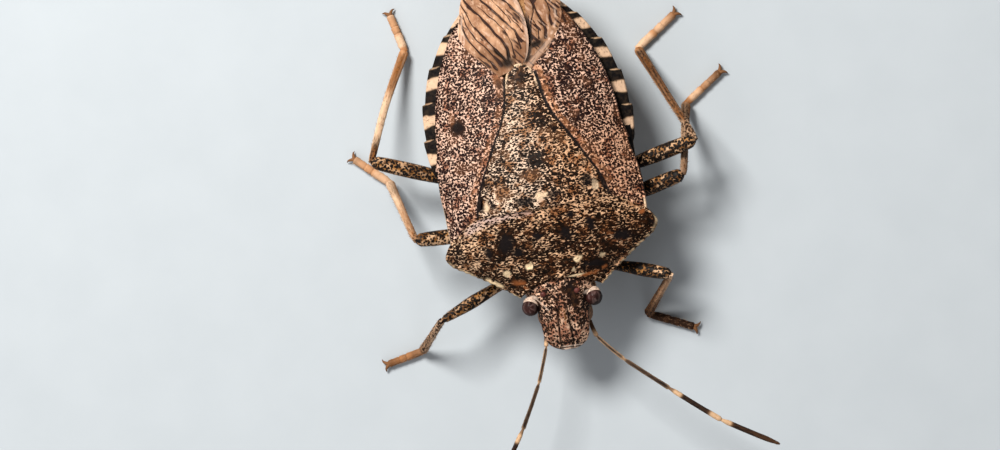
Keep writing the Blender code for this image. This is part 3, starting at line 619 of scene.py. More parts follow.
SHIELD_BLACK = {("black", 0.45): (
    (0.97, 0.68, -1.37, 0.2, 0.22, 0), (0.97, -0.43, -1.29, 0.15, 0.14, 0), (0.97, 1.66, -1.16, 0.15, 0.24, 0),
    (0.97, -1.66, -1.38, 0.3, 0.34, 0), (0.97, -1.3, -1.76, 0.24, 0.18, 0), (0.97, 2.75, -1.83, 0.36, 0.2, 0),
    (0.97, 0.97, -0.68, 0.14, 0.12, 0), (0.97, -2.44, -1.59, 0.14, 0.24, 0), (0.97, 1.5, -2.68, 0.35, 0.12, 0))}
SHIELD_MARKS = {
    ("cream", 0.4): ((0.85, 0.66, -3.02, 0.34, 0.04, 3),),
    ("warm", 0.5): ((0.9, 3.66, -1.05, 0.12, 0.08, 20), (0.8, 1.15, -3.04, 0.26, 0.05, 5)),
    ("black", 0.6): ((0.35, -3.85, -1.6, 0.3, 0.2, 0),),
}
WARM_LINES = (((1.31, -3.09), (1.6, -2.94), (1.9, -2.85)), ((-1.75, -2.88), (-1.5, -3.0), (-1.25, -3.2)))


def make_shield():
    v, u = sheet(SHIELD_GRID, -1.0)
    au = np.abs(u)
    middle_y = SHIELD_FRONT + (SHIELD_REAR - SHIELD_FRONT) * v
    x = u * shield_side_x(v)
    y = middle_y + (shield_side_y(v) - middle_y) * au ** (2.0 + 1.7 * v)
    teeth = 0.5 + 0.5 * np.sin(v * 2 * pi * TEETH)
    x += np.sign(u) * 0.055 * (teeth - 0.5) * smooth(0.96, 1.0, au) * smooth(0.72, 0.6, v) * smooth(0.02, 0.08, v)
    ax = np.abs(x)
    calli = spot(ax, y, 0.95, -2.62, 0.72, 0.2, -8, 0.5)
    z = back(x, y) + 0.05 * calli - 0.03 * spot(ax, y, 0.95, -2.62, 0.95, 0.36, -8, 0.4) * (1 - calli)
    z += 0.05 * bump(v, 0.02, 0.03) * (au < 0.95)
    z += 0.06 * smooth(0.965, 0.99, au) * smooth(0.9, 0.7, v)
    z -= 0.05 * bump(au, 0.945, 0.02) * smooth(0.85, 0.7, v)
    z += 0.1 * np.exp(-((ax - 3.72) ** 2 + (y + 1.45) ** 2) / 0.16)
    z -= 0.07 * bump(y, -2.0, 0.25) * (ax < 3.3) * (1 - ax / 3.3)
    z += 0.016 * cloud(x, y * 1.8, 0.35, 3) + 0.006 * noise(x, y * 2.5, 0.11, 5)
    z -= 0.07 * rounded(au, 0.985) + 0.05 * rounded(v, 0.975)

    paint = Paint(x, y)
    paint("tone", 0.15 + 0.5 * cloud(x * 0.7, y, 0.7, 11))
    paint.spots(SHIELD_TONES)
    paint("tone", 0.7 * bump(x, 0.1, 0.1) * (y < -2.0) - 0.3 * smooth(-2.1, -2.7, y))
    # Painted sheen: a pale greyish pink band along the rear edge on the bug's right, with a wider pale net under it.
    sheen = smooth(0.8, 0.87, v) * smooth(0.98, 0.955, v) * smooth(-3.5, -2.9, x) * smooth(-0.2, -0.8, x)
    sheen *= 0.9 + 0.4 * noise(x, y * 4, 0.2, 37)
    paint("tone", 0.55 * sheen + 0.3 * smooth(0.8, 0.9, v) * smooth(-0.5, 0.3, x))
    paint("bloom", 0.8 * sheen)
    paint.spots(SHIELD_CREAM, (0.06 * noise(x, y, 0.11, 21), 0.06 * noise(x, y, 0.1, 22)))
    paint.layers["cream"] *= 1 - 0.85 * spot(x, y, 0.92, -2.38, 0.035, 0.035, 0, 0.5)
    rim = smooth(0.976, 0.987, au) * smooth(0.78, 0.62, v)
    corner = 0.9 * spot(x, y, -2.45, -2.72, 0.5, 0.3, 25, 0.4)
    paint("cream", rim * np.clip(paint.broken(0.16, 33, -0.25, 0.35) * (0.35 + 0.6 * teeth) + corner, 0, 0.95))
    paint("cream", corner * smooth(0.93, 0.955, au) * paint.broken(0.12, 39, -0.6, 0.1))
    paint("cream", 0.75 * smooth(0.975, 0.99, au) * bump(v, 0.8, 0.06) * (x > 0))
    for line in WARM_LINES:
        gap, _ = near_line(x, y, line)
        paint("warm", 0.95 * bump(gap, 0, 0.05) * paint.broken(0.12, 31, -0.5, 0.1))
    paint("warm", 0.8 * spot(x, y, -1.52, -2.9, 0.26, 0.1, -8, 0.5) * paint.broken(0.12, 36, -0.5, 0.1))
    paint("warm", 0.5 * spot(x, y, 2.5, -1.85, 0.5, 0.25, -30, 0.6) * (noise(x, y * 2, 0.14, 35) > 0.15))
    paint("black", 0.6 * spot(x, y, 3.86, -1.4, 0.28, 0.13, -35, 0.6) * paint.broken(0.1, 38, -0.5, 0.1))
    paint.spots(SHIELD_MARKS)
    wob = 0.06 * noise(x, y, 0.1, 34)
    paint.spots(SHIELD_BLACK, (wob, -wob))
    paint("black", 0.54 * smooth(0.978, 0.992, v) * (au < 0.97))
    paint("tan", 0.35 * smooth(-2.5, 1.0, x))
    body = Body()
    body.plate(xyz(x, y, z), 0.1 + 0.25 * smooth(0.0, 0.2, 1 - au), **paint.values())
    body.make("shield", SHIELD_LOOK, "pronotum")


def make_underside():
    """Lower skin of the three body rings that carry the legs, from the neck to the abdomen."""
    cols = 120
    outer = curve((-3.25, 1.5), (-2.6, 2.6), (-2.0, 3.45), (-1.5, 3.8), (-1.0, 3.72), (0.5, 3.75), (2.4, 3.78))
    angle = np.linspace(0, 2 * pi, cols, endpoint=False)
    upper = np.sin(angle) >= 0
    rings = []
    for at in np.linspace(NECK_Y, THORAX_REAR + 0.35, 150):
        half, y = float(outer(at)), np.full(cols, at)
        x = half * np.cos(angle)
        side = float(side_height(at)) - 0.22
        share = np.abs(x) / half
        low = STERNUM + 0.02 + (side - STERNUM) * share ** 2.0
        low = low + (bump(at, -1.15, 0.07) + 0.8 * bump(at, 0.45, 0.06) + 0.8 * bump(at, 1.95, 0.06)) * 0.09
        low = low - 0.05 * bump(share, 0.62, 0.12) * np.sin(at * 5) ** 2 + 0.1 * bump(x, 0, 0.28)
        low = low + 0.02 * cloud(x, y, 0.4, 41)
        z = np.where(upper, np.maximum(back(x, y) - 0.33, low + 0.1), low)
        paint = Paint(np.abs(x), y)
        paint("tone", 0.2 + 0.5 * cloud(x, y, 0.7, 43) - 0.8 * smooth(0.8, 1.0, share))
        paint.spots({("black", 0.3): ((1, 2.2, 0.45, 0.1, 0.1, 0), (1, 2.4, -1.15, 0.1, 0.1, 0))})
        paint("black", smooth(0.86, 0.93, share) * upper * smooth(0.9, 1.3, at))
        rings.append((xyz(x, y, z), paint.values()))
    body = Body()
    body.skin(rings)
    body.make("underside", BELLY_LOOK, "thorax")


# Triangle between the wings

SCUTELLUM_TONES = {
    ("tone", 0.7): ((-1.5, 0.2, 1.6, 0.32, 0.28, 0), (-1.0, -0.05, 4.9, 0.3, 0.26, 0), (-0.9, 0.55, 3.1, 0.3, 0.4, 0),
                    (-0.5, -0.5, 1.9, 0.4, 0.3, 0), (-0.9, 0.95, 2.5, 0.2, 0.5, 0), (-0.3, -1.6, 0.9, 0.5, 0.25, 0),
                    (-0.4, 1.3, 0.9, 0.5, 0.3, 0)),
    ("tone", 0.8): ((0.3, -0.3, 2.6, 0.5, 1.0, 0),),
}
SCUTELLUM_BLACK = {("black", 0.3): (
    (0.88, -0.62, 0.08, 0.34, 0.16, 0), (0.88, 0.55, 0.2, 0.3, 0.12, 0), (0.88, 1.85, 0.5, 0.2, 0.26, 0),
    (0.88, 2.45, 0.62, 0.14, 0.22, 0), (0.88, -2.4, 0.2, 0.14, 0.18, 0), (0.88, -1.9, 0.12, 0.1, 0.1, 0))}
SCUTELLUM_CREAM = {("cream", 0.2): (
    (1, -2.15, 0.17, 0.12, 0.19, 0), (1, 0.02, 0.2, 0.24, 0.12, 0), (1, 2.13, 0.28, 0.13, 0.21, 0))}


def make_scutellum():
    t, u = sheet(SCUTELLUM_GRID, -1.0)
    front = SHIELD_REAR - 0.3
    y = front + (SCUTELLUM_TIP - front) * (1 - (1 - t) ** 1.3)
    x = u * scutellum_half(y)
    z = back(x, y) + 0.07 * (1 - u ** 2) + 0.02
    z += 0.06 * bump(y, 0.9, 0.8) * (1 - u * u)
    z -= 0.16 * spot(np.abs(x), y, 2.3, 0.28, 0.22, 0.2, 0, 0.6)
    z += 0.022 * cloud(x, y * 2.0, 0.4, 51) + 0.012 * noise(x, y * 3, 0.12, 53)
    z -= 0.09 * rounded(np.abs(u), 0.95) + 0.08 * smooth(0.97, 1.0, t)

    paint = Paint(x, y)
    paint("tone", 0.45 + 0.5 * cloud(x, y, 0.8, 55))
    paint.spots(SCUTELLUM_TONES)
    wob = 0.03 * noise(x, y, 0.09, 57)
    paint.spots(SCUTELLUM_BLACK, (wob, -wob))
    paint("black", 0.85 * spot(x, y, -0.05, 4.9, 0.27, 0.26, 0, 0.5) * paint.broken(0.09, 65, -0.5, 0.0))
    wob = 0.06 * noise(x, y, 0.13, 59)
    paint.spots(SCUTELLUM_CREAM, (wob, wob))
    paint("cream", 0.95 * smooth(0.935, 0.96, t) * paint.broken(0.09, 63, -0.5, 0.1))
    paint("cream", 0.85 * smooth(0.78, 0.88, np.abs(u)) * smooth(4.3, 4.8, y) * paint.broken(0.1, 64, -0.6, 0.0))
    paint("warm", 0.3 * smooth(0.3, 0.6, cloud(x, y, 0.5, 61)))
    paint("tan", 0.9 * smooth(-0.4, 1.3, x))
    body = Body()
    body.plate(xyz(x, y, z), SCUTELLUM_THICK, **paint.values())
    body.make("scutellum_plate", SCUTELLUM_LOOK, "scutellum")


# Wings

def coons(first, last, low, high):
    """Patch between four boundary lines of points: first and last run with u, low and high with t."""
    cols, rows = len(first), len(low)
    u, t = np.linspace(0, 1, cols)[None, :, None], np.linspace(0, 1, rows)[:, None, None]
    first, last, low, high = first[None, :, :], last[None, :, :], low[:, None, :], high[:, None, :]
    corners = ((1 - u) * (1 - t) * first[:, :1] + u * (1 - t) * first[:, -1:]
               + (1 - u) * t * last[:, :1] + u * t * last[:, -1:])
    patch = (1 - t) * first + t * last + (1 - u) * low + u * high - corners
    return patch[..., 0], patch[..., 1]


def pairs(x, y):
    return np.stack([np.broadcast_to(x, np.shape(y)), y], -1)


def film_edge(side):
    """Line between the leathery part of the wing and its film, from the scutellum to the outer corner."""
    if side < 0:
        return curve((5.1, 0.74), (5.25, 0.9), (5.55, 1.15), (5.91, 1.47), (6.28, 1.77), (6.6, 1.94), (7.0, 2.05),
                     (7.44, 1.99))
    return curve((5.1, 0.5), (5.35, 0.72), (5.66, 1.07), (5.99, 1.37), (6.47, 1.64), (6.82, 1.8), (7.44, 1.98))


def near_line(x, y, points):
    """Distance of each grid point from a line of points, and how far along the line it lies."""
    best = np.full(x.shape, 9.0)
    along = np.zeros(x.shape)
    points = np.array(points, float)
    total = len(points) - 1
    for k in range(total):
        a, b = points[k], points[k + 1]
        d = b - a
        s = np.clip(((x - a[0]) * d[0] + (y - a[1]) * d[1]) / (d @ d), 0, 1)
        gap = np.hypot(x - a[0] - s * d[0], y - a[1] - s * d[1])
        closer = gap < best
        best = np.where(closer, gap, best)
        along = np.where(closer, (k + s) / total, along)
    return best, along


WING_MARKS = {
    0: {("tone", 0.7): ((0.5, -2.25, 6.7, 0.35, 0.5, 0),)},
    -1: {("tone", 0.6): ((-1.6, -2.74, 3.42, 0.26, 0.28, 0),),
         ("warm", 0.4): ((0.25, -2.74, 3.42, 0.26, 0.3, 0),),
         ("warm", 0.5): ((1.0, -0.9, 4.86, 0.15, 0.27, 10), (0.6, -2.9, 3.75, 0.12, 0.25, 0)),
         ("black", 0.6): ((0.7, -0.87, 4.74, 0.12, 0.2, 10),)},
    1: {("tone", 0.6): ((-0.6, 2.1, 6.8, 0.4, 0.45, 0),),
        ("tone", 0.7): ((-0.9, 1.7, 4.6, 0.35, 0.5, 0),),
        ("tone", 0.8): ((-0.55, 2.5, 3.9, 0.4, 0.5, 0), (-0.8, 1.9, 3.0, 0.5, 0.4, 30)),
        ("warm", 0.6): ((0.6, 2.1, 7.0, 0.45, 0.5, 0),)},
}
ROOT_X = {-1: 0.74, 1: 0.5}
ROOT_Y = 5.1


def make_corium(side):
    t, u = sheet(CORIUM_GRID)
    tt, uu = t[:, 0], u[0]
    inner_y = -0.1 + (ROOT_Y + 0.1) * tt
    inner = pairs(np.maximum(scutellum_half(inner_y) - 0.12, 0.3), inner_y)
    inner[:, 0] += (ROOT_X[side] - inner[:, 0]) * smooth(0.93, 1.0, tt)
    outer_y = -0.95 + (RIM_START[1] + 0.95) * tt
    outer = pairs(wing_outer(outer_y), outer_y)
    front = inner[0] + (outer[0] - inner[0]) * uu[:, None]
    rear_y = ROOT_Y + (RIM_START[1] - ROOT_Y) * uu
    rear = pairs(film_edge(side)(rear_y), rear_y)
    rear[-1] = outer[-1]
    x, y = coons(front, rear, inner, outer)
    suture = 0.24 + 0.02 * np.sin(pi * t)
    z = back(x, y) - 0.025 * bump(u, suture, 0.018) * smooth(0.85, 0.6, t) + 0.03 * bump(u, suture * 0.5, 0.07)
    z += 0.035 * bump(u, 0.66 - 0.04 * t, 0.03) * smooth(0.8, 0.55, t)
    z += 0.05 * smooth(0.965, 0.985, u) - 0.05 * bump(u, 0.93, 0.02)
    z += 0.018 * cloud(x, y, 0.35, 71 + side) + 0.006 * noise(x, y, 0.1, 73)
    z -= 0.08 * rounded(u, 0.985) + 0.05 * rounded(t, 0.985)

    sx = side * x
    from_shield = x - scutellum_half(y)
    strip = smooth(0.04, 0.12, from_shield) * smooth(0.42, 0.3, from_shield) * (y < 5.3)
    thin = 0.5 + 0.5 * smooth(0.5, 3.5, y)
    gap = smooth((0.06 + 0.01 * side) * thin, (0.125 + 0.015 * side) * thin, from_shield)
    paint = Paint(sx, y)
    paint("tone", 0.35 + 0.4 * cloud(sx, y, 0.9, 75))
    paint("warm", 0.2 * smooth(0.2, 0.6, cloud(sx, y, 0.6, 77)))
    # Painted shade: black in the seam where the wing runs under the scutellum's edge.
    paint("black", 0.97 * (1 - gap) * (y < 5.0))
    paint("tan", np.full_like(x, 0.1))
    paint.spots(WING_MARKS[0])
    paint.spots(WING_MARKS[side])
    if side < 0:
        paint("tone", 0.15)
        paint("warm", 0.4 * strip * paint.broken(0.13, 79, -0.3, 0.35))
        paint("tan", 0.5 * strip)
        wob = 0.1 * noise(sx, y, 0.14, 78)
        paint("black", 0.95 * spot(sx + wob, y - wob, -2.72, 3.38, 0.24, 0.28, 0, 0.5))
        paint("cream", 0.8 * smooth(0.975, 0.985, u) * smooth(0.28, 0.1, t))
    else:
        # Left wing: darker towards the outer margin, partly the wing's own dark edge and partly painted shade.
        paint("tone", 0.3 + 0.25 * cloud(sx, y, 0.45, 76) - 0.45 * smooth(0.78, 0.92, u) - 0.3 * smooth(0.6, 0.9, t))
        paint("warm", 0.75 * strip * paint.broken(0.13, 79, -0.45, 0.35))
        paint("tan", np.maximum(0.25 + 0.55 * smooth(0.65, 0.3, t), 0.9 * strip))
        paint("black", 0.85 * spot(sx, y, 2.08, 6.85, 0.36, 0.45, 0, 0.6) * paint.broken(0.15, 74, 0.0, 0.3))
        # Black along the outer rim: partly the wing's own dark edge and partly painted shade.
        paint("black", 0.7 * smooth(0.955, 0.975, u) * smooth(0.05, 0.09, t))
        paint("cream", 0.9 * smooth(0.925, 0.95, u) * smooth(0.055, 0.035, t))
    body = Body()
    body.plate(xyz(lean(sx, y), y, z), CORIUM_THICK, **paint.values())
    body.make("forewing_" + SIDE_NAMES[side], CORIUM_LOOK, "wing_" + SIDE_NAMES[side])


def overlap_edge(t):
    """Edge of the upper film where it lies on the lower one."""
    y = MEMBRANE_BASE + (WING_TIP - MEMBRANE_BASE) * t
    x = 0.12 * (1 - t) + 0.5 * np.sin(pi * t ** 0.65)
    return x, y


def rim(t, sweep=1.0):
    """Outer rim of a film, from the corner of the leathery part to the wing tip."""
    angle = np.asarray(t) * pi / 2 * sweep
    return RIM_START[0] * np.cos(angle) ** 0.75, RIM_START[1] + (WING_TIP - RIM_START[1]) * np.sin(angle)


# Dark veins of the upper and lower film, each with its strength, and pale lines
UPPER_VEINS = (
    (1.0, (-0.26, 5.55), (-0.28, 6.01), (-0.48, 6.45), (-0.9, 7.1), (-1.15, 7.45), (-1.41, 7.76), (-1.64, 8.12),
     (-1.74, 8.4)),
    (1.0, (0.37, 6.16), (0.23, 6.37), (0.08, 6.73), (-0.19, 7.06), (-0.67, 7.65), (-1.01, 8.08), (-1.35, 8.6)),
    (1.0, (0.56, 6.97), (0.34, 7.32), (0.09, 7.64), (-0.15, 7.95), (-0.5, 8.42), (-0.9, 8.95)),
    (0.85, (0.64, 7.19), (0.55, 7.47), (0.38, 7.88), (0.1, 8.35), (-0.25, 9.2)),
    (1.0, (-0.36, 5.5), (-0.64, 5.91), (-0.85, 6.24), (-1.07, 6.55), (-1.31, 6.89), (-1.53, 7.22), (-1.72, 7.7),
     (-1.85, 8.1)),
    (0.8, (-0.55, 5.35), (-0.88, 5.84), (-1.12, 6.19), (-1.38, 6.53), (-1.62, 6.92), (-1.78, 7.3), (-1.88, 7.75)),
    (0.85, (-0.74, 5.25), (-1.06, 5.65), (-1.38, 6.03), (-1.64, 6.45), (-1.84, 6.85), (-1.92, 7.21), (-1.94, 7.55)),
    (0.7, (0.25, 5.9), (0.21, 6.28), (0.08, 6.6)),
    (0.5, (-0.05, 5.6), (-0.08, 6.2), (-0.3, 6.75), (-0.62, 7.2), (-1.25, 7.95)),
    (0.5, (0.45, 6.55), (0.2, 6.95), (-0.15, 7.4)),
    (0.6, (0.3, 8.6), (0.15, 9.2)),
    (0.4, (0.05, 7.0), (-0.4, 7.75), (-0.95, 8.5)),
)
LOWER_VEINS = (
    (1.0, (1.2, 6.15), (1.25, 6.54), (1.18, 6.93), (1.02, 7.35), (0.88, 7.7), (0.6, 8.5)),
    (0.7, (0.62, 6.4), (0.76, 6.9), (0.92, 7.3), (0.96, 7.8), (0.85, 8.6)),
    (0.6, (0.95, 6.2), (0.98, 6.6), (0.86, 7.0)),
    (0.7, (1.5, 6.6), (1.55, 7.2), (1.42, 7.7), (1.2, 8.3)),
    (0.6, (0.7, 6.2), (0.62, 6.6), (0.72, 7.2)),
)
MILKY_UPPER = ((-2.06, 6.62), (-2.0, 7.0), (-1.93, 7.4), (-1.8, 8.0))
MILKY_LOWER = ((1.32, 6.1), (1.56, 6.47), (1.7, 6.83), (1.74, 7.21), (1.65, 7.61), (1.5, 8.1))
MILKY_INNER = ((1.28, 6.2), (1.38, 6.63), (1.4, 7.08), (1.34, 7.5))
STEP_LINE = ((0.3, 5.92), (0.5, 5.99), (0.7, 6.02), (0.95, 6.07), (1.2, 6.1), (1.34, 6.08))


FILM_ROOT, FILM_CORNER = 5.0, 7.4


def membrane_plan(side, tt, uu):
    """Where the points of a film lie, between the leathery part, the middle line and the wing tip."""
    outer_y = FILM_ROOT + (FILM_CORNER - FILM_ROOT) * tt
    outer = pairs(side * (film_edge(side)(outer_y) + 0.1 * smooth(1, 0.85, tt)), outer_y)
    if side < 0:
        inner = pairs(*overlap_edge(tt))
        rim_x, rim_y = rim(uu, 0.995)
    else:
        inner = pairs(-0.25 + 0.1 * tt, MEMBRANE_BASE + (WING_TIP - 0.1 - MEMBRANE_BASE) * tt)
        rim_x, rim_y = rim(uu)
        rim_x, rim_y = rim_x - 0.15 * uu ** 3, rim_y - 0.1 * uu ** 3
    far = pairs(side * rim_x, rim_y)
    base = outer[0] + (inner[0] - outer[0]) * uu[:, None]
    outer[-1] = far[0]
    inner[-1] = far[-1]
    return coons(base, far, outer, inner)


STREAK_TURN = 38


def make_membrane(side):
    upper = side < 0
    t, u = sheet(FILM_GRIDS[side])
    x, y = membrane_plan(side, t[:, 0], u[0])
    z = back(x, y) + (0.03 if upper else -0.03)
    wx, wy = x + 0.035 * noise(x, y, 0.35, 82), y + 0.035 * noise(x, y, 0.3, 84)
    paint = Paint(x, y)
    folds = np.zeros_like(x)
    for k, (strength, *points) in enumerate(UPPER_VEINS if upper else LOWER_VEINS):
        gap, along = near_line(wx, wy, points)
        ragged = 0.75 + 0.45 * noise(along * 9, np.full(x.shape, k * 3.1), 0.9, 85)
        width = (0.032 + 0.045 * smooth(0.3, 0.0, along)) * strength * ragged
        ends = smooth(-0.01, 0.05, along) * (1 - 0.5 * smooth(0.8, 1.0, along))
        paint("vein", bump(gap, 0, width * 1.15) * ends * (0.75 + 0.25 * strength))
        folds = np.maximum(folds, bump(gap, 0, 0.075) * strength)
    c, s = cos(radians(STREAK_TURN)), sin(radians(STREAK_TURN))
    fine = noise(x * c + y * s, (-x * s + y * c) * 0.13, 0.055, 87)
    paint("vein", (0.5 if upper else 0.7) * smooth(0.2, 0.65, fine) * paint.broken(0.3, 88, -0.35, 0.25))
    # Painted highlight: pale streaks along the film between the fine dark streaks.
    paint("cream", 0.35 * smooth(0.25, 0.75, -fine) * paint.broken(0.25, 90, -0.5, 0.4))
    z += 0.03 - 0.06 * folds + 0.012 * fine + 0.012 * cloud(x * 2.2, y, 0.3, 83)
    if upper:
        z -= 0.05 * smooth(0.94, 1.0, u) + 0.03 * smooth(0.97, 1, t)
        gap, along = near_line(x, y, MILKY_UPPER)
        paint("cream", 0.55 * bump(gap, 0, 0.04) * smooth(1, 0.7, along))
        paint("cream", 0.6 * bump(gap, 0.12, 0.03) * (x < -1.9))
        paint("cream", 0.45 * smooth(0.955, 0.975, u))
        paint("black", 0.97 * spot(x, y, -0.38, 5.5, 0.26, 0.2, 0, 0.6))
        paint("black", 0.95 * spot(wx, wy, -0.28, 5.75, 0.06, 0.36, 0, 0.7))
        paint("black", 0.95 * spot(wx, wy, -0.62, 5.85, 0.07, 0.4, 40, 0.7))
        paint("shade", 0.75 * smooth(6.7, 5.7, y) + 0.45 * smooth(0.0, 0.5, cloud(x, y, 0.4, 89)))
    else:
        gap, _ = near_line(x, y, STEP_LINE)
        beyond = smooth(-0.02, 0.05, y - np.interp(x, *zip(*STEP_LINE)))
        z -= 0.14 * beyond * smooth(1.5, 1.1, x) + 0.12 * smooth(0.75, 0.35, x) * smooth(5.6, 6.2, y)
        z -= 0.12 * smooth(0.9, 0.3, x) * smooth(6.5, 8.0, y)
        # Painted shadow: black along the step where the lower film drops away.
        step = 0.98 * np.exp(-(gap / 0.16) ** 4) * smooth(1.25, 0.9, x)
        paint("black", step * paint.broken(0.15, 81, -0.7, -0.2))
        # Painted shadow: black on the lower film along the edge of the upper film that lies over it.
        upper_edge, _ = overlap_edge(np.clip((y - MEMBRANE_BASE) / (WING_TIP - MEMBRANE_BASE), 0, 1))
        shadow = smooth(0.2, 0.08, x - upper_edge) * smooth(5.3, 5.45, y) * smooth(7.6, 6.9, y)
        paint("black", 0.95 * shadow)
        for line, width, power in ((MILKY_LOWER, 0.045, 0.5), (MILKY_INNER, 0.03, 0.35)):
            gap, _ = near_line(x, y, line)
            paint("cream", power * bump(gap, 0, width) * paint.broken(0.13, 86, -0.6, 0.3))
        island = (1 - beyond) * smooth(0.2, 0.4, x)
        paint("cream", 0.28 * island * smooth(0.22, 0.04, np.abs(y - 0.9 * (x - 0.7) - 5.5)))
        paint("shade", 0.6 + 0.3 * smooth(0.2, 0.6, cloud(x, y, 0.4, 89)) + 0.2 * island)
        paint("vein", 0.4 * island * smooth(0.0, 0.5, noise(y - 0.9 * x, 0.12 * (x + y), 0.06, 82)))
    body = Body()
    body.plate(xyz(x, y, z), FILM_THICK, **paint.values())
    body.make("wing_film_" + SIDE_NAMES[side], MEMBRANE_LOOK, "membrane_" + SIDE_NAMES[side])


def make_abdomen():
    """Belly, flat top under the wings and the banded border with a tooth at each segment."""
    bounds = (1.7,) + SEGMENT_JOINTS + (8.0,)
    flat = np.linspace(0, 1, 16)
    angle = np.linspace(0, pi, 74)[1:-1]
    mirrored = slice(-2, None, -1)
    rings = []
    for at in np.concatenate([np.linspace(1.2, 8.2, 250), np.linspace(8.22, ABDOMEN_TIP, 14)]):
        t = max((at - 2.25) / (ABDOMEN_TIP - 2.25), 0)
        half = float(edge_at(at))
        before = [b for b in bounds if b <= at]
        if before and at < 7.9:
            half += 0.1 * min((at - before[-1]) / 1.3, 1) ** 1.3 - 0.055
        if at < 2.2:
            half = min(half, 3.72 + 0.3 * smooth(1.2, 2.1, at))
        border = float(side_height(at)) - 0.08
        belly = BELLY + 0.25 * (1 - min(t, 1)) ** 3 + 1.35 * t ** 3.2
        inner = min(float(wing_outer(min(at, 7.3))) - 0.1, half - 0.12)
        rim_z = min(border + 0.12, float(back(np.array(inner), np.array(at))) - 0.13)
        groove = sum(exp(-((at - j) / 0.05) ** 2) for j in bounds)
        under_wing = np.linspace(inner, 0, 26)
        xs = np.concatenate([half - np.array([0.0, 0.012, 0.04]), np.linspace(half - 0.09, inner + 0.05, 16),
                             under_wing])
        zs = np.concatenate([border - np.array([0.13, 0.05, 0.005]),
                             border + (rim_z - border) * flat * 0.9 + 0.03 * np.sin(pi * flat) - 0.035 * groove,
                             back(under_wing, np.full(26, at)) - 0.22])
        low_z = (border - 0.13) - (border - 0.13 - belly) * np.sin(angle) ** 0.85 + 0.045 * groove
        x = np.concatenate([xs, -xs[mirrored], -half * np.cos(angle)])
        z = np.concatenate([zs, zs[mirrored], low_z])
        y = np.full(len(x), at)
        ax = np.abs(x)
        is_top = np.arange(len(x)) < len(x) - len(angle)
        edge_top, edge_under = is_top & (ax > inner - 0.3), ~is_top & (ax > half - 0.45)
        wander = y + 0.03 * noise(x, y, 0.16, 93) + 0.14 * (half - ax - 0.2) * np.sin(at * 3.1)
        shrink = 0.225 - 0.04 * smooth(0.15, 0.6, half - ax)
        pale = np.max([np.exp(-((wander - p) / shrink) ** 10) for p in PALE_PATCHES], axis=0)
        seam = max(exp(-((at - j) / 0.024) ** 2) for j in bounds[1:])
        line = seam * smooth(half - 0.34, half - 0.26, ax)
        soft = smooth(half - 0.5, half - 0.05, ax)
        black = np.select([edge_top, edge_under], [(1 - pale) * (1 - line), (1 - pale) * soft * 0.9 * (1 - seam)], 0.0)
        paint = Paint(ax, y)
        paint("tone", 0.1 + 0.5 * cloud(x, y, 0.7, 91) - 0.5 * soft * ~is_top)
        paint("cream", np.select([edge_top, edge_under], [np.maximum(pale, 0.6 * line), pale * soft], 0.0))
        paint("black", black * np.where(is_top, 0.985 + 0.03 * noise(x, y, 0.08, 92), 1.0))
        for joint in bounds[:-1]:
            paint("black", spot(ax, y, half * 0.84, joint + 0.4, 0.08, 0.08, 0, 0.3) * ~is_top)
        middle = 0.25 * exp(-((at - 7.6) / 0.5) ** 2) * spot(ax, y, 0, 7.8, 0.5, 0.5, 0, 0.6)
        paint("black", middle * ~is_top)
        paint("warm", 0.8 * (is_top & ~edge_top))
        rings.append((xyz(lean(x, y), y, z), paint.values()))
    body = Body()
    body.skin(rings)
    body.make("belly", BELLY_LOOK, "abdomen")


# Head

def head_turn(points):
    """Turn points of the head about the neck, to the bug's right."""
    points = np.array(points, float)
    c, s = cos(-radians(HEAD_YAW)), sin(-radians(HEAD_YAW))
    x, y = points[..., 0].copy(), points[..., 1] - SHIELD_FRONT
    points[..., 0] = c * x - s * y
    points[..., 1] = s * x + c * y + SHIELD_FRONT
    return points


def ellipsoid(body, centre, radii, segments=40, rows=26, **values):
    lat = np.linspace(-pi / 2, pi / 2, rows)[1:-1]
    lon = np.linspace(0, 2 * pi, segments, endpoint=False)
    a, b = np.meshgrid(lat, lon, indexing="ij")
    points = xyz(np.cos(a) * np.cos(b), np.cos(a) * np.sin(b), np.sin(a)) * radii + centre
    body.rings(head_turn(points), **values)


EYE_SHIFT = 0.065
HEAD_TONES = {
    ("tone", 0.5): ((-0.7, 0.36, 0.15, 0.3, 0.32, 0),),
    ("tone", 0.6): ((-1.3, 0.5, 0.55, 0.17, 0.5, 0), (-1.4, -0.98, 0.86, 0.17, 0.2, 0),
                    (-0.7, 0.03, 2.2, 0.16, 0.3, 0)),
}


